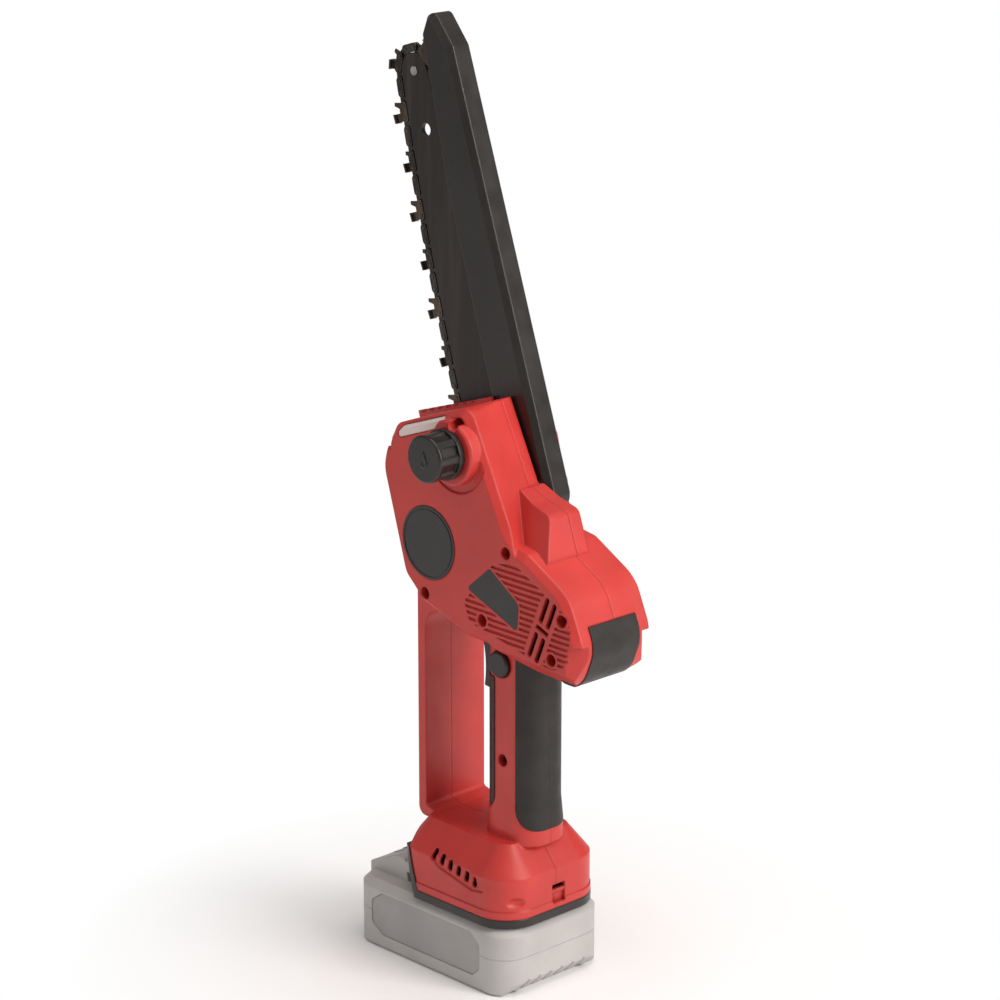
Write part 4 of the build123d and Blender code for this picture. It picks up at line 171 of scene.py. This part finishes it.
def black_steel(name, colour, metal=0.7, roughness=0.4):
    """Blackened or painted steel with fine scratches along it and rubbed edges."""
    graph = Graph(name)
    scratches = graph.noise(160.0, 6.0, (1.0, 1.0, 0.06))
    scratched = tuple(part * 2.2 + 0.01 for part in colour)
    body = graph.blend(graph.spread(scratches, 0.45, 0.8), colour, scratched)
    edge_amount, normal = graph.edges(METAL_EDGE)
    bright = graph.spread(edge_amount, 0.0, 1.0, 0.0, 0.35)
    body = graph.blend(bright, body, EDGE_TINT)
    sheen = graph.spread(scratches, 0.3, 0.8, roughness - 0.1, roughness + 0.12)
    graph.set(Base_Color=body, Metallic=metal, Roughness=sheen,
              Normal=graph.bump(scratches, 0.2, 0.00002, normal))
    return graph.material


def bright_metal(name, colour, roughness=0.3):
    """Bare or plated metal, a little dull and uneven."""
    graph = Graph(name)
    cloud = graph.noise(300.0, 5.0)
    dull = tuple(part * 0.75 for part in colour)
    body = graph.blend(graph.spread(cloud, 0.35, 0.7), dull, colour)
    _, normal = graph.edges(METAL_EDGE)
    sheen = graph.spread(cloud, 0.3, 0.7, roughness - 0.08, roughness + 0.12)
    graph.set(Base_Color=body, Metallic=1.0, Roughness=sheen,
              Normal=graph.bump(cloud, 0.15, 0.00002, normal))
    return graph.material


def milky_plastic(name, colour):
    """Translucent tank plastic, stood in for by light scattered just below its face."""
    graph = Graph(name)
    cloud = graph.noise(90.0, 3.0)
    cloudy = tuple(part * 0.94 for part in colour)
    body = graph.blend(graph.spread(cloud, 0.3, 0.7), cloudy, colour)
    _, normal = graph.edges(MILKY_EDGE)
    sheen = graph.spread(graph.noise(300.0, 3.0), 0.3, 0.7, 0.28, 0.4)
    graph.set(Base_Color=body, Roughness=sheen, Subsurface_Weight=0.25,
              Subsurface_Radius=(0.004, 0.004, 0.003),
              Normal=graph.bump(cloud, 0.1, 0.00005, normal))
    return graph.material


RED = (0.52, 0.032, 0.026)
BLACK = (0.013, 0.0110, 0.0100)
GREY = (0.44, 0.43, 0.42)


def make_materials():
    """Every material, by the name of its slot in the record."""
    return {
        "casing_red": moulded_plastic("casing_red", RED, 0.40, edge=0.0016),
        # The black plastic gets a strong pale line along its edges: a painted highlight as well as
        # rubbed wear.
        "black_plastic": moulded_plastic("black_plastic", BLACK, 0.32, scuff_and_highlight=0.9),
        "grip_rubber": soft_rubber("grip_rubber", (0.015, 0.0125, 0.0115)),
        "label_black": moulded_plastic("label_black", (0.014, 0.014, 0.015), 0.30, grain=3000.0,
                                       depth=0.00001, edge=0.0002),
        "tank_plastic": milky_plastic("tank_plastic", (0.74, 0.64, 0.61)),
        "seal_rubber": soft_rubber("seal_rubber", (0.02, 0.02, 0.02)),
        "bar_black": black_steel("bar_black", (0.020, 0.015, 0.013), metal=0.25, roughness=0.42),
        "blued_steel": black_steel("blued_steel", (0.05, 0.045, 0.042), metal=0.9, roughness=0.38),
        "oiled_steel": black_steel("oiled_steel", (0.085, 0.062, 0.050), metal=0.85, roughness=0.34),
        "plated_steel": bright_metal("plated_steel", (0.56, 0.56, 0.55)),
        "cast_alloy": bright_metal("cast_alloy", (0.5, 0.5, 0.5), 0.5),
        "magnet": black_steel("magnet", (0.05, 0.05, 0.055), metal=0.4, roughness=0.6),
        "copper_windings": bright_metal("copper_windings", (0.6, 0.27, 0.11), 0.35),
        "contact_brass": bright_metal("contact_brass", (0.75, 0.55, 0.25), 0.28),
        "board_green": moulded_plastic("board_green", (0.02, 0.13, 0.05), 0.45, edge=0.0002),
        "cell_steel": bright_metal("cell_steel", (0.45, 0.5, 0.6), 0.35),
        "battery_grey": moulded_plastic("battery_grey", GREY, 0.48, edge=0.0012, scuff_and_highlight=0.15),
        "battery_panel": moulded_plastic("battery_panel", (0.33, 0.32, 0.315), 0.5, edge=0.0004),
    }


OILED_CHAIN = ("chain_cutters", "chain_rivets")     # plated, but dark with oil and pitch in use


def dress_nodes(materials):
    """Gives every CAD node the material that the record names for it, and the chain its oily one."""
    for part in frame["record"]["subparts"]:
        name = part["node"]
        slots = NODES[name].data.materials
        slots.clear()
        slots.append(materials["oiled_steel" if name in OILED_CHAIN else part["material_slot"]])


def studio_floor():
    """Pale paper that keeps the saw's shadow and fades to plain white further out."""
    bpy.ops.mesh.primitive_plane_add(size=8.0, location=(0, 0, 0))
    floor = bpy.context.object
    floor.name = "studio_floor"
    graph = Graph("floor_paper")
    cloud = graph.noise(3.0, 3.0)
    graph.set(Base_Color=graph.blend(cloud, (0.90, 0.90, 0.90), (0.92, 0.92, 0.92)), Roughness=0.9)
    distance = graph.add("ShaderNodeVectorMath", operation="LENGTH")
    graph.link(graph.place, distance.inputs[0])
    away = graph.spread(distance.outputs["Value"], FADE_START, FADE_END)
    seen = graph.add("ShaderNodeMath", operation="MULTIPLY")
    graph.link(away, seen.inputs[0])
    graph.link(graph.add("ShaderNodeLightPath").outputs["Is Camera Ray"], seen.inputs[1])
    white = graph.add("ShaderNodeEmission")
    mix = graph.add("ShaderNodeMixShader")
    graph.link(seen.outputs["Value"], mix.inputs["Fac"])
    graph.link(graph.shader.outputs["BSDF"], mix.inputs[1])
    graph.link(white.outputs["Emission"], mix.inputs[2])
    graph.link(mix.outputs["Shader"], graph.output.inputs["Surface"])
    floor.data.materials.append(graph.material)


def studio_world():
    """Even soft light from all round, and plain white where the camera sees past the floor."""
    world = bpy.data.worlds.new("studio")
    bpy.context.scene.world = world
    world.use_nodes = True
    tree = world.node_tree
    tree.nodes.clear()
    output = tree.nodes.new("ShaderNodeOutputWorld")
    mix = tree.nodes.new("ShaderNodeMixShader")
    path = tree.nodes.new("ShaderNodeLightPath")
    ambient = tree.nodes.new("ShaderNodeBackground")
    ambient.inputs["Color"].default_value = (*WARM_WHITE, 1.0)
    ambient.inputs["Strength"].default_value = 0.30
    plain = tree.nodes.new("ShaderNodeBackground")
    plain.inputs["Color"].default_value = (1.0, 1.0, 1.0, 1.0)
    tree.links.new(path.outputs["Is Camera Ray"], mix.inputs["Fac"])
    tree.links.new(ambient.outputs["Background"], mix.inputs[1])
    tree.links.new(plain.outputs["Background"], mix.inputs[2])
    tree.links.new(mix.outputs["Shader"], output.inputs["Surface"])


def soft_box(name, place, aim, size, power):
    """A large square light that faces a point."""
    light = bpy.data.lights.new(name, "AREA")
    light.shape = "RECTANGLE"
    light.size, light.size_y = size
    light.energy = power
    light.color = WARM_WHITE
    lamp = bpy.data.objects.new(name, light)
    bpy.context.scene.collection.objects.link(lamp)
    lamp.location = place
    lamp.rotation_euler = (Vector(aim) - Vector(place)).to_track_quat("-Z", "Y").to_euler()


def studio_lights():
    """A broad key from the rear right, one light overhead and a weak fill on the left side."""
    middle = (0.0, 0.0, 0.26)
    soft_box("key_right", (1.9, 0.5, 1.2), middle, (1.0, 1.6), 40.0)
    soft_box("top", (0.3, 0.1, 2.2), middle, (1.6, 1.6), 26.0)
    soft_box("fill_left", (-0.6, -2.2, 0.9), middle, (1.4, 1.8), 6.0)


def camera():
    """The camera at the photograph's angle."""
    lens = bpy.data.cameras.new("photo_camera")
    lens.lens = CAMERA_LENS
    lens.sensor_width = 36.0
    view = bpy.data.objects.new("photo_camera", lens)
    bpy.context.scene.collection.objects.link(view)
    azimuth, elevation = math.radians(CAMERA_AZIMUTH), math.radians(CAMERA_ELEVATION)
    flat = math.cos(elevation)
    out = Vector((flat * math.sin(azimuth), -flat * math.cos(azimuth), math.sin(elevation)))
    target = Vector(CAMERA_TARGET)
    view.location = target + out * CAMERA_DISTANCE
    view.rotation_euler = (-out).to_track_quat("-Z", "Y").to_euler()
    bpy.context.scene.camera = view


dress_nodes(make_materials())
studio_floor()
studio_world()
studio_lights()
camera()
bpy.context.scene.view_settings.view_transform = "Standard"
